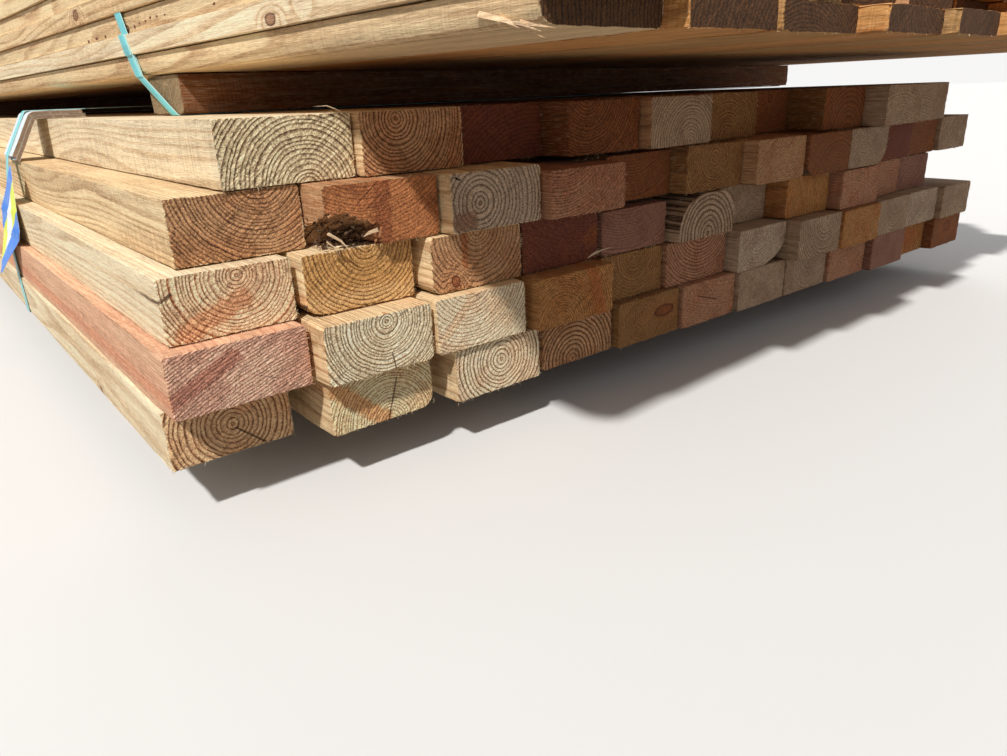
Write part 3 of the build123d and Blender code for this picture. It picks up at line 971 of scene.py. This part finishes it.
def fringe(bundle, stick, log, seed, count, longest=4.5 * mm, edges="bbbbrrrltt", reach=1.6 * mm):
    """Adds torn hairs round a stick's front end, or along its arrises where they reach back.

    They stand in tufts, where the saw has torn most.
    """
    outward = {"b": (0, -1), "t": (0, 1), "l": (-1, 0), "r": (1, 0)}
    roots, towards, lengths, radii = [], [], [], []
    tufts = dice.uniform(0.02, 0.98, 7)
    for _ in range(count):
        edge = edges[int(dice.integers(len(edges)))]
        tuft = tufts[int(dice.integers(len(tufts)))]
        share = float(np.clip(dice.normal(tuft, 0.05), 0.01, 0.99))
        out_x, out_z = outward[edge]
        x = share * stick.width if edge in "bt" else (stick.width if edge == "r" else 0.0)
        z = share * stick.thickness if edge in "lr" else (stick.thickness if edge == "t" else 0.0)
        back = dice.uniform(0, reach)
        roots.append(np.array([x - out_x * 0.7 * mm, back, z - out_z * 0.7 * mm]))
        sweep = dice.uniform(-0.8, 0.5) if reach < 10 * mm else dice.choice((-4.0, 4.0))
        towards.append(np.array([out_x, sweep, out_z]) + dice.normal(0, 0.4, 3))
        lengths.append(longest * (0.2 + 0.8 * dice.uniform() ** 3))
        radii.append(dice.uniform(0.1, 0.28) * mm)
    slivers(bundle, stick, log, seed, roots, towards, lengths, radii, 1.0)


def rotten_litter(bundle, stick, seed):
    """Fills the rotten pocket with crumbly flakes, and a few cleaner shards across its mouth."""
    count = 150
    spread = np.array([40, 34, 22]) * mm
    roots = dice.uniform(0, 1, (count, 3)) * spread + np.array([1, 6, 1]) * mm
    roots[:, 2] *= np.clip(1.15 - roots[:, 0] / (70 * mm), 0.3, 1)
    towards = dice.normal(0, 1, (count, 3)) + np.array([0.2, -0.9, 0.0])
    lengths = dice.uniform(2, 7, count) * mm
    radii = dice.uniform(0.5, 2.0, count) * mm
    rot = Log("rot", (20, 60), 2.0, 0.8, blotch=0.8)
    slivers(bundle, stick, rot, seed, roots, towards, lengths, radii, 0.0)
    shards = np.array([(46, 2, 12), (2, 2, 15), (1, 3, 9), (8, 6, 3)]) * mm
    ways = np.array([(-1, -0.16, -0.12), (1, -0.1, -0.7), (0.8, -0.2, -0.8), (1, -0.5, 0.2)])
    lengths, radii = [0.018, 0.022, 0.014, 0.012], [0.0022, 0.0016, 0.0013, 0.001]
    slivers(bundle, stick, Log("peach", (50, 80)), seed, shards, ways, lengths, radii, 0.15)


for course, logs in lower_logs.items():
    node = f"lower_course_{course}"
    bundle = Bundle()
    for place, (stick, log) in enumerate(zip(sticks_in(node), logs), start=1):
        key = (course, place)
        wane = {corner: (a * mm, d * mm) for corner, (a, d) in lower_wanes.get(key, {}).items()}
        reshape = thin_towards_front(thin_ends[key]) if key in thin_ends else None
        near = place <= nearest_boards
        pitch, first = (2.7 * mm, 1.6 * mm) if near else (5 * mm, 3 * mm)
        seed = 100 * course + place
        if key == rotten_board:
            saw(bundle, stick, log, seed, wane, 2.2 * mm, 3 * mm, 1.2, reshape=rotten_corner)
            rotten_litter(bundle, stick, seed)
        else:
            saw(bundle, stick, log, seed, wane, pitch, first, reshape=reshape)
        fringe(bundle, stick, log, seed, 80 if near else 50)
        if place == 1:
            fringe(bundle, stick, log, seed, 120, 4 * mm, edges="bl", reach=1.1)
        for root, way, length, thick in odd_slivers.get(key, []):
            way, root = np.array([way], float), np.array([root]) * mm
            slivers(bundle, stick, Log("pale"), seed, root, way, [length * mm], [thick * mm], 0.7)
    bundle.piece(f"{node}_boards", board_wood, node)

# Bolsters: two rough-sawn sticks flat between the packs. The upper pack's straps hold them to it.
# Their long faces are dark brown, partly their own tone and partly painted shade between the
# packs, and their sawn ends are paler.
for number, node in enumerate(("bolster_front", "bolster_rear")):
    bundle = Bundle()
    for stick in sticks_in(node, crosswise=True):
        saw(bundle, stick, Log("umber", (50, 20), 4.0, 0.6, end="drift", marks=0.7), 920 + number)
    bundle.piece(f"{node}_stick", dunnage_wood, node)

# Upper pack: ten courses of rough-sawn one by fours, turned a little on the lower pack. Its
# straw-coloured edges face the sun, its undersides are honey and khaki, the honey an ochre
# lightened as painted light bounced up from below, and its ends have gone dark brown.
upper_tones = ("honey", "khaki", "straw", "ochre", "tan")
upper_picker = np.random.default_rng(31)
upper_left = {
    1: Log("straw", (120, 8), 3.4, 0.8, end="soot", lean=(9, -3), blotch=0.2),
    2: Log(
        "pale", (66, 26), 5.0, 0.9, end="soot", lean=(-12, 5), knot=(0, 298, 6),
        knot_size=(12, 9, 4.5), blotch=0.3,
    ),
    3: Log(
        "straw", (90, -14), 3.8, 0.8, end="soot", lean=(14, 6), knot=(0, 593, 5),
        knot_size=(8, 8, 4), blotch=0.3,
    ),
    4: Log(
        "straw", (70, 44), 4.2, 0.8, end="soot", lean=(-10, -5), knot=(0, 771, 11),
        knot_size=(10, 11, 6), blotch=0.3,
    ),
}
bark_pockets = [(593, 4.5, 8), (568, 5.5, 4), (552, 7, 4), (534, 7.5, 4), (519, 9.5, 5)]
bark_pockets += [(501, 9, 5), (480, 8.5, 4), (735, 3, 4), (702, 4, 6), (669, 3.5, 4)]
bark_pockets += [(366, 6.5, 4)]


def bark_flecks(bundle, stick, seed):
    """Adds the small pockets of bark that a row of dead twigs left in a plank's left edge."""
    for along, up, long in bark_pockets:
        long, high = long * mm, dice.uniform(1.4, 2.6) * mm
        middle = np.array([0.4, along, up]) * mm
        angles = np.linspace(0, 2 * math.pi, 11)[:-1]
        reach = dice.uniform(0.7, 1.15, 10)
        run, rise = np.cos(angles) * long * reach, np.sin(angles) * high * reach
        rim = np.stack([0 * angles, run, rise], axis=1) + middle
        points = np.concatenate([rim, middle[None] - (0.7 * mm, 0, 0)])
        triangles = [(10, (index + 1) % 10, index) for index in range(10)]
        marks = np.tile((0.0, 0.0, 0.0), (10, 1))
        bundle.add(stick, Log("maroon", contrast=0.2), seed, points, [], triangles, [], marks)


for course in range(1, 11):
    node = f"upper_course_{course}"
    bundle = Bundle()
    for place, stick in enumerate(sticks_in(node), start=1):
        tone = upper_tones[int(upper_picker.integers(len(upper_tones)))]
        pith = (upper_picker.uniform(-60, 160), upper_picker.uniform(-90, 100))
        lean = tuple(upper_picker.uniform(-14, 14, 2))
        log = Log(tone, pith, upper_picker.uniform(2.6, 5.0), 0.6, end="soot", lean=lean, marks=0.9)
        if place == 1:
            log.tone = "straw"
            log.contrast = 0.85
            log.pith = (upper_picker.uniform(60, 160), upper_picker.uniform(0, 26))
            log = upper_left.get(course, log)
        elif course == 1:
            # The bottom course's honey is a lightened ochre: painted light, as if bounced up onto
            # the underside
            log.tone = ("honey", "khaki")[place % 2]
        wane = {"bottom left": (7 * mm, 10 * mm)} if (course, place) == (1, 1) else {}
        seed = 1000 + 20 * course + place
        saw(bundle, stick, log, seed, wane, 6 * mm if place == 1 else 12 * mm, 2.4 * mm, 1.6)
        if course < 4:
            fringe(bundle, stick, log, seed, 30, 4 * mm, edges="bblr")
        if place == 1:
            fringe(bundle, stick, log, seed, 100, 4 * mm, edges="bl", reach=2.0)
        if (course, place) == (1, 1):
            roots = np.array([(0.5, 46, 9), (0.5, 30, 6), (0.5, 14, 3)]) * mm
            ways = np.array([(-0.06, -1, -0.22)] * 3)
            lengths, radii = [0.045, 0.034, 0.022], [0.0022, 0.0016, 0.0012]
            slivers(bundle, stick, Log("peach"), seed, roots, ways, lengths, radii, 0.2)
        if (course, place) == (3, 1):
            bark_flecks(bundle, stick, seed)
    bundle.piece(f"{node}_boards", board_wood, node)

# Corner protectors: strips of pasted grey board, nested in pairs and folded over the lower pack's
# top edges under its straps. They are white outside, and their brown-grey plies show on every cut.
fold_eases = ((5 * mm, 3 * mm), (7 * mm, 5 * mm))
fold_steps = 7
flange_steps = 10
board_plies = 5
board_steps = 17
sheet_crease = math.radians(40)


def clad(name, points, faces, material, key, values, node, cuts=None):
    """A thin piece whose material reads one vector at each point, and which faces are cut edges."""
    mesh = bpy.data.meshes.new(name)
    mesh.from_pydata(np.clip(points, cad_low, cad_high).tolist(), [], faces)
    layer = mesh.attributes.new(key, "FLOAT_VECTOR", "POINT")
    layer.data.foreach_set("vector", np.array(values, np.float32).ravel())
    if cuts:
        layer = mesh.attributes.new("cut", "FLOAT", "FACE")
        layer.data.foreach_set("value", np.array(cuts, np.float32))
    mesh.polygons.foreach_set("use_smooth", [True] * len(mesh.polygons))
    mesh.set_sharp_from_angle(angle=sheet_crease)
    mesh.materials.append(material)
    dressed(name, mesh, node)


def wire_board():
    """White-faced pasted board: creases along its length, scuffs, and plies on its cut edges."""
    material, wire, shader = new_material("pasted_board")
    along, depth, run = wire.split(wire.mark("sheet_point"))
    cut = wire.mark("cut", "Fac")
    at = wire.join(wire.times(along, 60.0), wire.times(run, 900.0), 0.0)
    streak = wire.noise(at, detail=3.0)
    scuff = wire.noise(wire.join(wire.times(along, 400.0), wire.times(run, 260.0), 2.0), detail=4.0)
    face = wire.blend(
        wire.ramp(streak, 0.4, 0.65), linear((232, 236, 238)), linear((196, 218, 228))
    )
    face = wire.blend(wire.times(wire.ramp(scuff, 0.56, 0.72), 0.5), face, linear((168, 150, 132)))
    wander = wire.times(
        wire.noise(wire.join(wire.times(along, 90.0), wire.times(run, 90.0), 5.0)), 0.6
    )
    plies = wire.math("SINE", wire.times(wire.plus(depth, wander), 2 * math.pi * board_plies))
    grey = wire.blend(wire.ramp(plies, -0.6, 0.6), linear((178, 152, 128)), linear((112, 88, 70)))
    grey = wire.blend(wire.times(wire.ramp(scuff, 0.5, 0.7), 0.5), grey, linear((206, 186, 160)))
    liner = wire.ramp(wire.math("ABSOLUTE", wire.minus(depth, 0.5)), 0.38, 0.44)
    grey = wire.blend(wire.times(liner, 0.8), grey, linear((232, 220, 202)))
    wire.put(shader.inputs["Base Color"], wire.blend(cut, face, grey))
    wire.put(shader.inputs["Roughness"], wire.ramp(cut, 0.0, 1.0, 0.5, 0.9))
    height = wire.plus(wire.times(streak, 0.5 * mm), wire.times(wire.times(plies, cut), 0.22 * mm))
    wire.raise_surface(shader, height)
    return material


pasted_board = wire_board()


def folded(line, ease, count):
    """A bent line with its fold rounded off, as evenly shared points."""
    start, corner, end = (np.array(point) for point in line)
    into, out = corner - start, end - corner
    into, out = into / np.linalg.norm(into), out / np.linalg.norm(out)
    first, last = corner - into * ease, corner + out * ease
    flat = [start + (first - start) * share for share in np.linspace(0, 1, count, endpoint=False)]
    shares = np.linspace(0, 1, fold_steps)
    arc = [first * (1 - s) ** 2 + 2 * corner * s * (1 - s) + last * s**2 for s in shares]
    rest = [last + (end - last) * share for share in np.linspace(0, 1, count + 1)[1:]]
    return np.array(flat + arc + rest)


def folded_strip(solid, eases):
    """A folded strip's points, how they lie in it, how many go across, and if it leans left."""
    front, back = solid[:, 1].min(), solid[:, 1].max()
    flat = solid[solid[:, 1] < front + 0.1 * mm][:, (0, 2)]
    lowest = flat[flat[:, 1].argmin()]
    flat = flat[np.argsort(np.linalg.norm(flat - lowest, axis=1))]
    pairs = [
        sorted(flat[start : start + 2].tolist(), key=lambda point: -point[1]) for start in (0, 2, 4)
    ]
    outside = folded([pair[0] for pair in pairs], eases[0], flange_steps)
    inside = folded([pair[1] for pair in pairs], eases[1], flange_steps)
    lengths = np.concatenate([[0], np.cumsum(np.linalg.norm(np.diff(outside, axis=0), axis=1))])
    points, marks = [], []
    for step, y in enumerate(np.linspace(front, back, board_steps)):
        for outer, inner, run in zip(outside, inside, lengths):
            rub = 0.1 * ripple(np.array([outer[0], y, outer[1]]), 30 * mm, 3)
            for ply in range(board_plies):
                share = ply / (board_plies - 1)
                spot = outer + (inner - outer) * (share + rub * (1 - share))
                fray = dice.uniform(0, 0.9 * mm)
                shift = fray if step == 0 else -fray if step == board_steps - 1 else 0.0
                points.append((spot[0], y + shift, spot[1]))
                marks.append((y, share, run))
    return points, marks, len(outside), lowest[0] < flat[-1, 0]


def strip_faces(count, leans_left, base):
    """The faces of one folded strip, and which of them are cut edges."""
    faces, cuts = [], []
    deepest, last, final = board_plies - 1, count - 1, board_steps - 1

    def face(cut, *corners):
        faces.append(tuple(base + (s * count + i) * board_plies + ply for s, i, ply in corners))
        cuts.append(cut)

    for s in range(final):
        for i in range(last):
            face(0.0, (s, i, 0), (s, i + 1, 0), (s + 1, i + 1, 0), (s + 1, i, 0))
            corners = ((s, i), (s + 1, i), (s + 1, i + 1), (s, i + 1))
            face(0.7, *((*corner, deepest) for corner in corners))
        for ply in range(deepest):
            below = ply + 1
            face(1.0, (s, 0, ply), (s + 1, 0, ply), (s + 1, 0, below), (s, 0, below))
            face(1.0, (s, last, ply), (s, last, below), (s + 1, last, below), (s + 1, last, ply))
    for i in range(last):
        for ply in range(deepest):
            below, beside = ply + 1, i + 1
            face(1.0, (0, i, ply), (0, i, below), (0, beside, below), (0, beside, ply))
            corners = ((i, ply), (beside, ply), (beside, below), (i, below))
            face(1.0, *((final, *corner) for corner in corners))
    return [corners if leans_left else corners[::-1] for corners in faces], cuts


def protector(node):
    """Builds a nested pair of folded strips from the corners of their CAD solids."""
    points, marks, faces, cuts = [], [], [], []
    strips = sorted(solids_of(*welded(node)), key=lambda solid: solid[:, 2].max())
    for solid, eases in zip(strips, fold_eases):
        some_points, some_marks, count, leans_left = folded_strip(solid, eases)
        some_faces, some_cuts = strip_faces(count, leans_left, len(points))
        points += some_points
        marks += some_marks
        faces += some_faces
        cuts += some_cuts
    name = f"{node}_board"
    clad(name, points, faces, pasted_board, "sheet_point", marks, node, cuts)


for end in ("front", "rear"):
    for hand in ("left", "right"):
        protector(f"corner_protector_{end}_{hand}")

# Straps: plastic strapping embossed with diamonds, heat-welded into tight bands. The lower pair is
# square round the lower pack and its protectors, and the upper pair has slipped askew.
strap_thickness = 0.9 * mm
strap_bend = 1.6 * mm
diamond_pitch = 1.6 * mm


def strap_corners(node, turn):
    """A band's outer corners in its pack's frame, as the hull of its section, and its width."""
    places, _ = welded(node)
    local = places @ np.array(Matrix.Rotation(-turn, 3, "Z")).T

    def half(ordered):
        chain = []
        for point in ordered:
            while len(chain) > 1:
                a, b = chain[-2], chain[-1]
                if (b[0] - a[0]) * (point[2] - a[2]) - (b[2] - a[2]) * (point[0] - a[0]) > 1e-7:
                    break
                chain.pop()
            chain.append(point)
        return chain[:-1]

    ordered = sorted(local.tolist(), key=lambda point: (round(point[0], 5), round(point[2], 5)))
    loop = half(ordered) + half(ordered[::-1])
    corners = []
    for x, _, z in loop:
        here = local[np.hypot(local[:, 0] - x, local[:, 2] - z) < 0.2 * mm]
        corners.append(np.array([x, here[:, 1].mean(), z]))
    wide = local[:, 1][np.hypot(local[:, 0] - loop[0][0], local[:, 2] - loop[0][2]) < 0.2 * mm]
    return corners, wide.max() - wide.min()


def strap_line(corners, spacing=14 * mm):
    """Points round the band with its corners eased, and the outward direction at each."""
    line = []
    for index, here in enumerate(corners):
        before = corners[index - 1]
        after = corners[(index + 1) % len(corners)]
        into = (here - before) / np.linalg.norm(here - before)
        out = (after - here) / np.linalg.norm(after - here)
        runs = np.linalg.norm(after - here), np.linalg.norm(here - before)
        ease = min(strap_bend, 0.3 * runs[0], 0.3 * runs[1])
        for share in (0.0, 0.25, 0.5, 0.75, 1.0):
            start, end = here - into * ease, here + out * ease
            line.append(start * (1 - share) ** 2 + 2 * here * share * (1 - share) + end * share**2)
        reach = runs[0] - 2 * ease
        count = int(reach / spacing)
        line += [here + out * (ease + reach * (step + 1) / (count + 1)) for step in range(count)]
    line = np.array(line)
    run = np.roll(line, -1, axis=0) - np.roll(line, 1, axis=0)
    outward = np.stack([run[:, 2], np.zeros(len(run)), -run[:, 0]], axis=1)
    return line, outward / np.linalg.norm(outward, axis=1, keepdims=True)


def strapping(name, colour):
    """Glossy strapping plastic: embossed diamonds, faint streaks, pale scuffs, and edges paler all
    along.
    """
    material, wire, shader = new_material(name)
    along, across, _ = wire.split(wire.mark("band_point"))
    scaled = wire.times(along, math.pi / diamond_pitch)
    raked = wire.times(across, math.pi / diamond_pitch)
    first = wire.math("SINE", wire.plus(scaled, raked))
    second = wire.math("SINE", wire.minus(scaled, raked))
    diamond = wire.times(first, second)
    streaks = wire.noise(
        wire.join(wire.times(along, 9.0), wire.times(across, 700.0), 0.0), detail=3.0
    )
    scuff = wire.noise(
        wire.join(wire.times(along, 130.0), wire.times(across, 300.0), 4.0), detail=4.0
    )
    tint = wire.blend(
        wire.ramp(streaks, 0.35, 0.7), linear(colour), linear([min(255, c + 30) for c in colour])
    )
    # Both edges of the band are paler along its whole length
    rim = wire.ramp(wire.math("ABSOLUTE", across), 8.0 * mm, 9.1 * mm)
    worn = wire.most(wire.times(wire.ramp(scuff, 0.55, 0.75), 0.4), wire.times(rim, 0.7))
    tint = wire.blend(worn, tint, linear((206, 232, 226)))
    wire.put(shader.inputs["Base Color"], tint)
    wire.put(shader.inputs["Roughness"], wire.ramp(scuff, 0.3, 0.75, 0.28, 0.5))
    height = wire.times(diamond, 0.09 * mm)
    wire.raise_surface(shader, height)
    return material


strap_plastic = strapping("strapping_teal", (88, 192, 200))


def band(node, turn):
    """Builds a band as a closed strip with soft edges."""
    corners, width = strap_corners(node, turn)
    line, outward = strap_line(corners)
    half = width / 2
    soft = half - 0.5 * mm
    profile = [(-half, 0.2), (-soft, 0.0), (0.0, 0.0), (soft, 0.0), (half, 0.2)]
    profile += [(half, 0.8), (soft, 1.0), (-soft, 1.0), (-half, 0.8)]
    count = len(profile)
    lengths = np.concatenate([[0], np.cumsum(np.linalg.norm(np.diff(line, axis=0), axis=1))])
    points, marks = [], []
    for point, out, distance in zip(line, outward, lengths):
        for across, depth in profile:
            points.append(point + np.array([0, across, 0]) - out * strap_thickness * depth)
            marks.append((distance, across, 0.0))
    faces = []
    for row in range(len(line)):
        nearer, further = row * count, (row + 1) % len(line) * count
        for index in range(count):
            beyond = (index + 1) % count
            faces.append((nearer + index, nearer + beyond, further + beyond, further + index))
    points = np.array(points) @ np.array(Matrix.Rotation(turn, 3, "Z")).T
    clad(f"{node}_band", points, faces, strap_plastic, "band_point", marks, node)


upper_turn = sticks_in("upper_course_1")[0].turn
for end in ("front", "rear"):
    band(f"lower_strap_{end}", 0.0)
    band(f"upper_strap_{end}", upper_turn)

# Tag: a printed card with rounded corners, caught by one corner under the front strap and hanging
# askew on its outside. Its print is plain blocks of colour with nothing written on them.
tag_card = 0.4 * mm
tag_length, tag_width, tag_rounding = 127 * mm, 101.6 * mm, 8 * mm
tag_slope = math.radians(30)
tag_columns, tag_rows = 40, 32


def printed_card():
    """Coated card in plain blocks: blue, a white band and two yellow wedges, a little worn."""
    material, wire, shader = new_material("printed_card")
    along, down, inside = wire.split(wire.mark("card_point"))
    rub = wire.noise(wire.join(wire.times(along, 9.0), wire.times(down, 7.0), 0.0), detail=4.0)
    slope = wire.times_plus(along, -0.12, down)
    band = wire.times(wire.ramp(slope, 0.24, 0.245), wire.ramp(slope, 0.66, 0.665, 1.0, 0.0))
    off_middle = wire.math("ABSOLUTE", wire.minus(along, wire.times_plus(down, 0.3, 0.36)))
    wedge = wire.times(band, wire.ramp(off_middle, 0.2, 0.205))
    colour = wire.blend(band, linear((8, 120, 224)), linear((240, 244, 242)))
    colour = wire.blend(wedge, colour, linear((226, 236, 34)))
    colour = wire.blend(wire.times(wire.ramp(rub, 0.6, 0.74), 0.4), colour, linear((216, 222, 220)))
    colour = wire.blend(inside, colour, linear((228, 228, 222)))
    wire.put(shader.inputs["Base Color"], colour)
    wire.put(shader.inputs["Roughness"], wire.ramp(rub, 0.3, 0.7, 0.32, 0.5))
    height = wire.times(rub, 0.25 * mm)
    wire.raise_surface(shader, height)
    return material


tag_places = welded("tag")[0]
tag_places = tag_places[np.argsort(tag_places[:, 2])]
tag_low, tag_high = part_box("tag")
tag_middle = (np.array(tag_low) + np.array(tag_high)) / 2
slack = np.random.default_rng(12).uniform(0, 6.3, 2)
sheet_levels, level_of = np.unique(np.round(tag_places[:, 2], 4), return_inverse=True)
level_of = level_of.reshape(-1)
sheet_insides = np.array(
    [tag_places[level_of == index, 0].max() for index in range(len(sheet_levels))]
)
outer_points, card_values = [], []
for down in np.linspace(0, 1, tag_rows):
    from_edge = min(down, 1 - down) * tag_width
    cut = tag_rounding - from_edge
    inset = tag_rounding - math.sqrt(tag_rounding**2 - cut**2) if cut > 0 else 0.0
    for along in np.linspace(0, 1, tag_columns):
        run = inset + (tag_length - 2 * inset) * along - tag_length / 2
        fall = (down - 0.5) * tag_width
        y = tag_middle[1] + run * math.cos(tag_slope) - fall * math.sin(tag_slope)
        z = tag_middle[2] - run * math.sin(tag_slope) - fall * math.cos(tag_slope)
        billow = 1.0 * mm * (1 + math.sin(4.2 * along + slack[0]) * math.cos(3.1 * down + slack[1]))
        x = np.interp(z, sheet_levels, sheet_insides) - tag_card - billow
        outer_points.append((x, y, z))
        card_values.append((along, down, 0.0))
outer_points, card_values = np.array(outer_points), np.array(card_values)
points = np.concatenate([outer_points, outer_points + (tag_card, 0, 0)])
values = np.concatenate([card_values, card_values + (0, 0, 1)])
shift = tag_rows * tag_columns
faces = []
for row in range(tag_rows - 1):
    for column in range(tag_columns - 1):
        a = row * tag_columns + column
        b, c, d = a + 1, a + tag_columns + 1, a + tag_columns
        faces += [(a, d, c, b), (a + shift, b + shift, c + shift, d + shift)]
rim = list(range(tag_columns))
rim += [row * tag_columns + tag_columns - 1 for row in range(1, tag_rows)]
rim += range(shift - 2, shift - tag_columns - 1, -1)
rim += [row * tag_columns for row in range(tag_rows - 2, 0, -1)]
for a, b in zip(rim, rim[1:] + rim[:1]):
    faces.append((a, b, b + shift, a + shift))
clad("tag_card", points, faces, printed_card(), "card_point", values, "tag")

# Stage: a plain pale floor under an even sky, with a soft key lamp high on the left that leaves
# the right half of the ends in the upper pack's shade, and a faint lamp behind on the right.
floor_bounce = (0.26, 0.24, 0.22, 1.0)
floor_shown = (0.74, 0.735, 0.725, 1.0)
backdrop = (0.93, 0.925, 0.915, 1.0)
sky = (0.94, 0.97, 1.0, 1.0)
sky_level = 0.37
key_towards, key_level, key_softness = (0.66, 0.5, -1.0), 3.6, 3.0


def seen_directly(wire):
    """1 where a thing is seen itself or in a shiny or clear surface, 0 for its bounced light."""
    paths = wire.node("ShaderNodeLightPath").outputs
    shiny = wire.most(paths["Is Glossy Ray"], paths["Is Transmission Ray"])
    return wire.most(paths["Is Camera Ray"], shiny)


bpy.ops.mesh.primitive_plane_add(size=60, location=(0, 0, 0))
floor = bpy.context.object
floor.name = "floor"
floor_material, wire, shader = new_material("pale_floor")
wire.put(shader.inputs["Base Color"], wire.blend(seen_directly(wire), floor_bounce, floor_shown))
wire.put(shader.inputs["Roughness"], 0.9)
floor.data.materials.append(floor_material)

world = bpy.data.worlds.new("studio")
world.use_nodes = True
bpy.context.scene.world = world
wire = Wiring(world.node_tree)
seen = seen_directly(wire)
lit = wire.vector("SCALE", sky[:3], scale=sky_level)
background = world.node_tree.nodes["Background"]
wire.put(background.inputs["Color"], wire.blend(seen, lit, backdrop))


def sun(name, towards, strength, softness, colour):
    lamp = bpy.data.lights.new(name, "SUN")
    lamp.energy = strength
    lamp.angle = math.radians(softness)
    lamp.color = colour
    made = bpy.data.objects.new(name, lamp)
    made.rotation_euler = Vector(towards).to_track_quat("-Z", "Y").to_euler()
    bpy.context.scene.collection.objects.link(made)


sun("key", key_towards, key_level, key_softness, (1.0, 0.975, 0.94))
sun("back_fill", (-0.7, -0.8, -0.9), 0.5, 40, (1.0, 1.0, 1.0))

# Camera: low in front of the stack's left corner, as the photograph was taken
pack_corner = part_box("lower_course_1")[0]
camera_offset = (-0.11548, -0.49037, 0.26542)
camera_yaw, camera_pitch, camera_roll = -38.582, -21.124, 2.336
focal_pixels = 737.8
image_width = 1007
sensor_width = 36
camera_data = bpy.data.cameras.new("camera")
camera_data.sensor_width = sensor_width
camera_data.lens = sensor_width * focal_pixels / image_width
camera_data.clip_start = 0.01
camera_data.clip_end = 200
camera = bpy.data.objects.new("camera", camera_data)
turned = Matrix.Identity(3)
for degrees, axis in ((camera_yaw, "Z"), (camera_pitch, "X"), (camera_roll, "Y"), (90, "X")):
    turned = turned @ Matrix.Rotation(math.radians(degrees), 3, axis)
camera_place = Vector(pack_corner) + Vector(camera_offset)
camera.matrix_world = Matrix.Translation(camera_place) @ turned.to_4x4()
bpy.context.scene.collection.objects.link(camera)
bpy.context.scene.camera = camera
bpy.context.scene.view_settings.view_transform = "Standard"
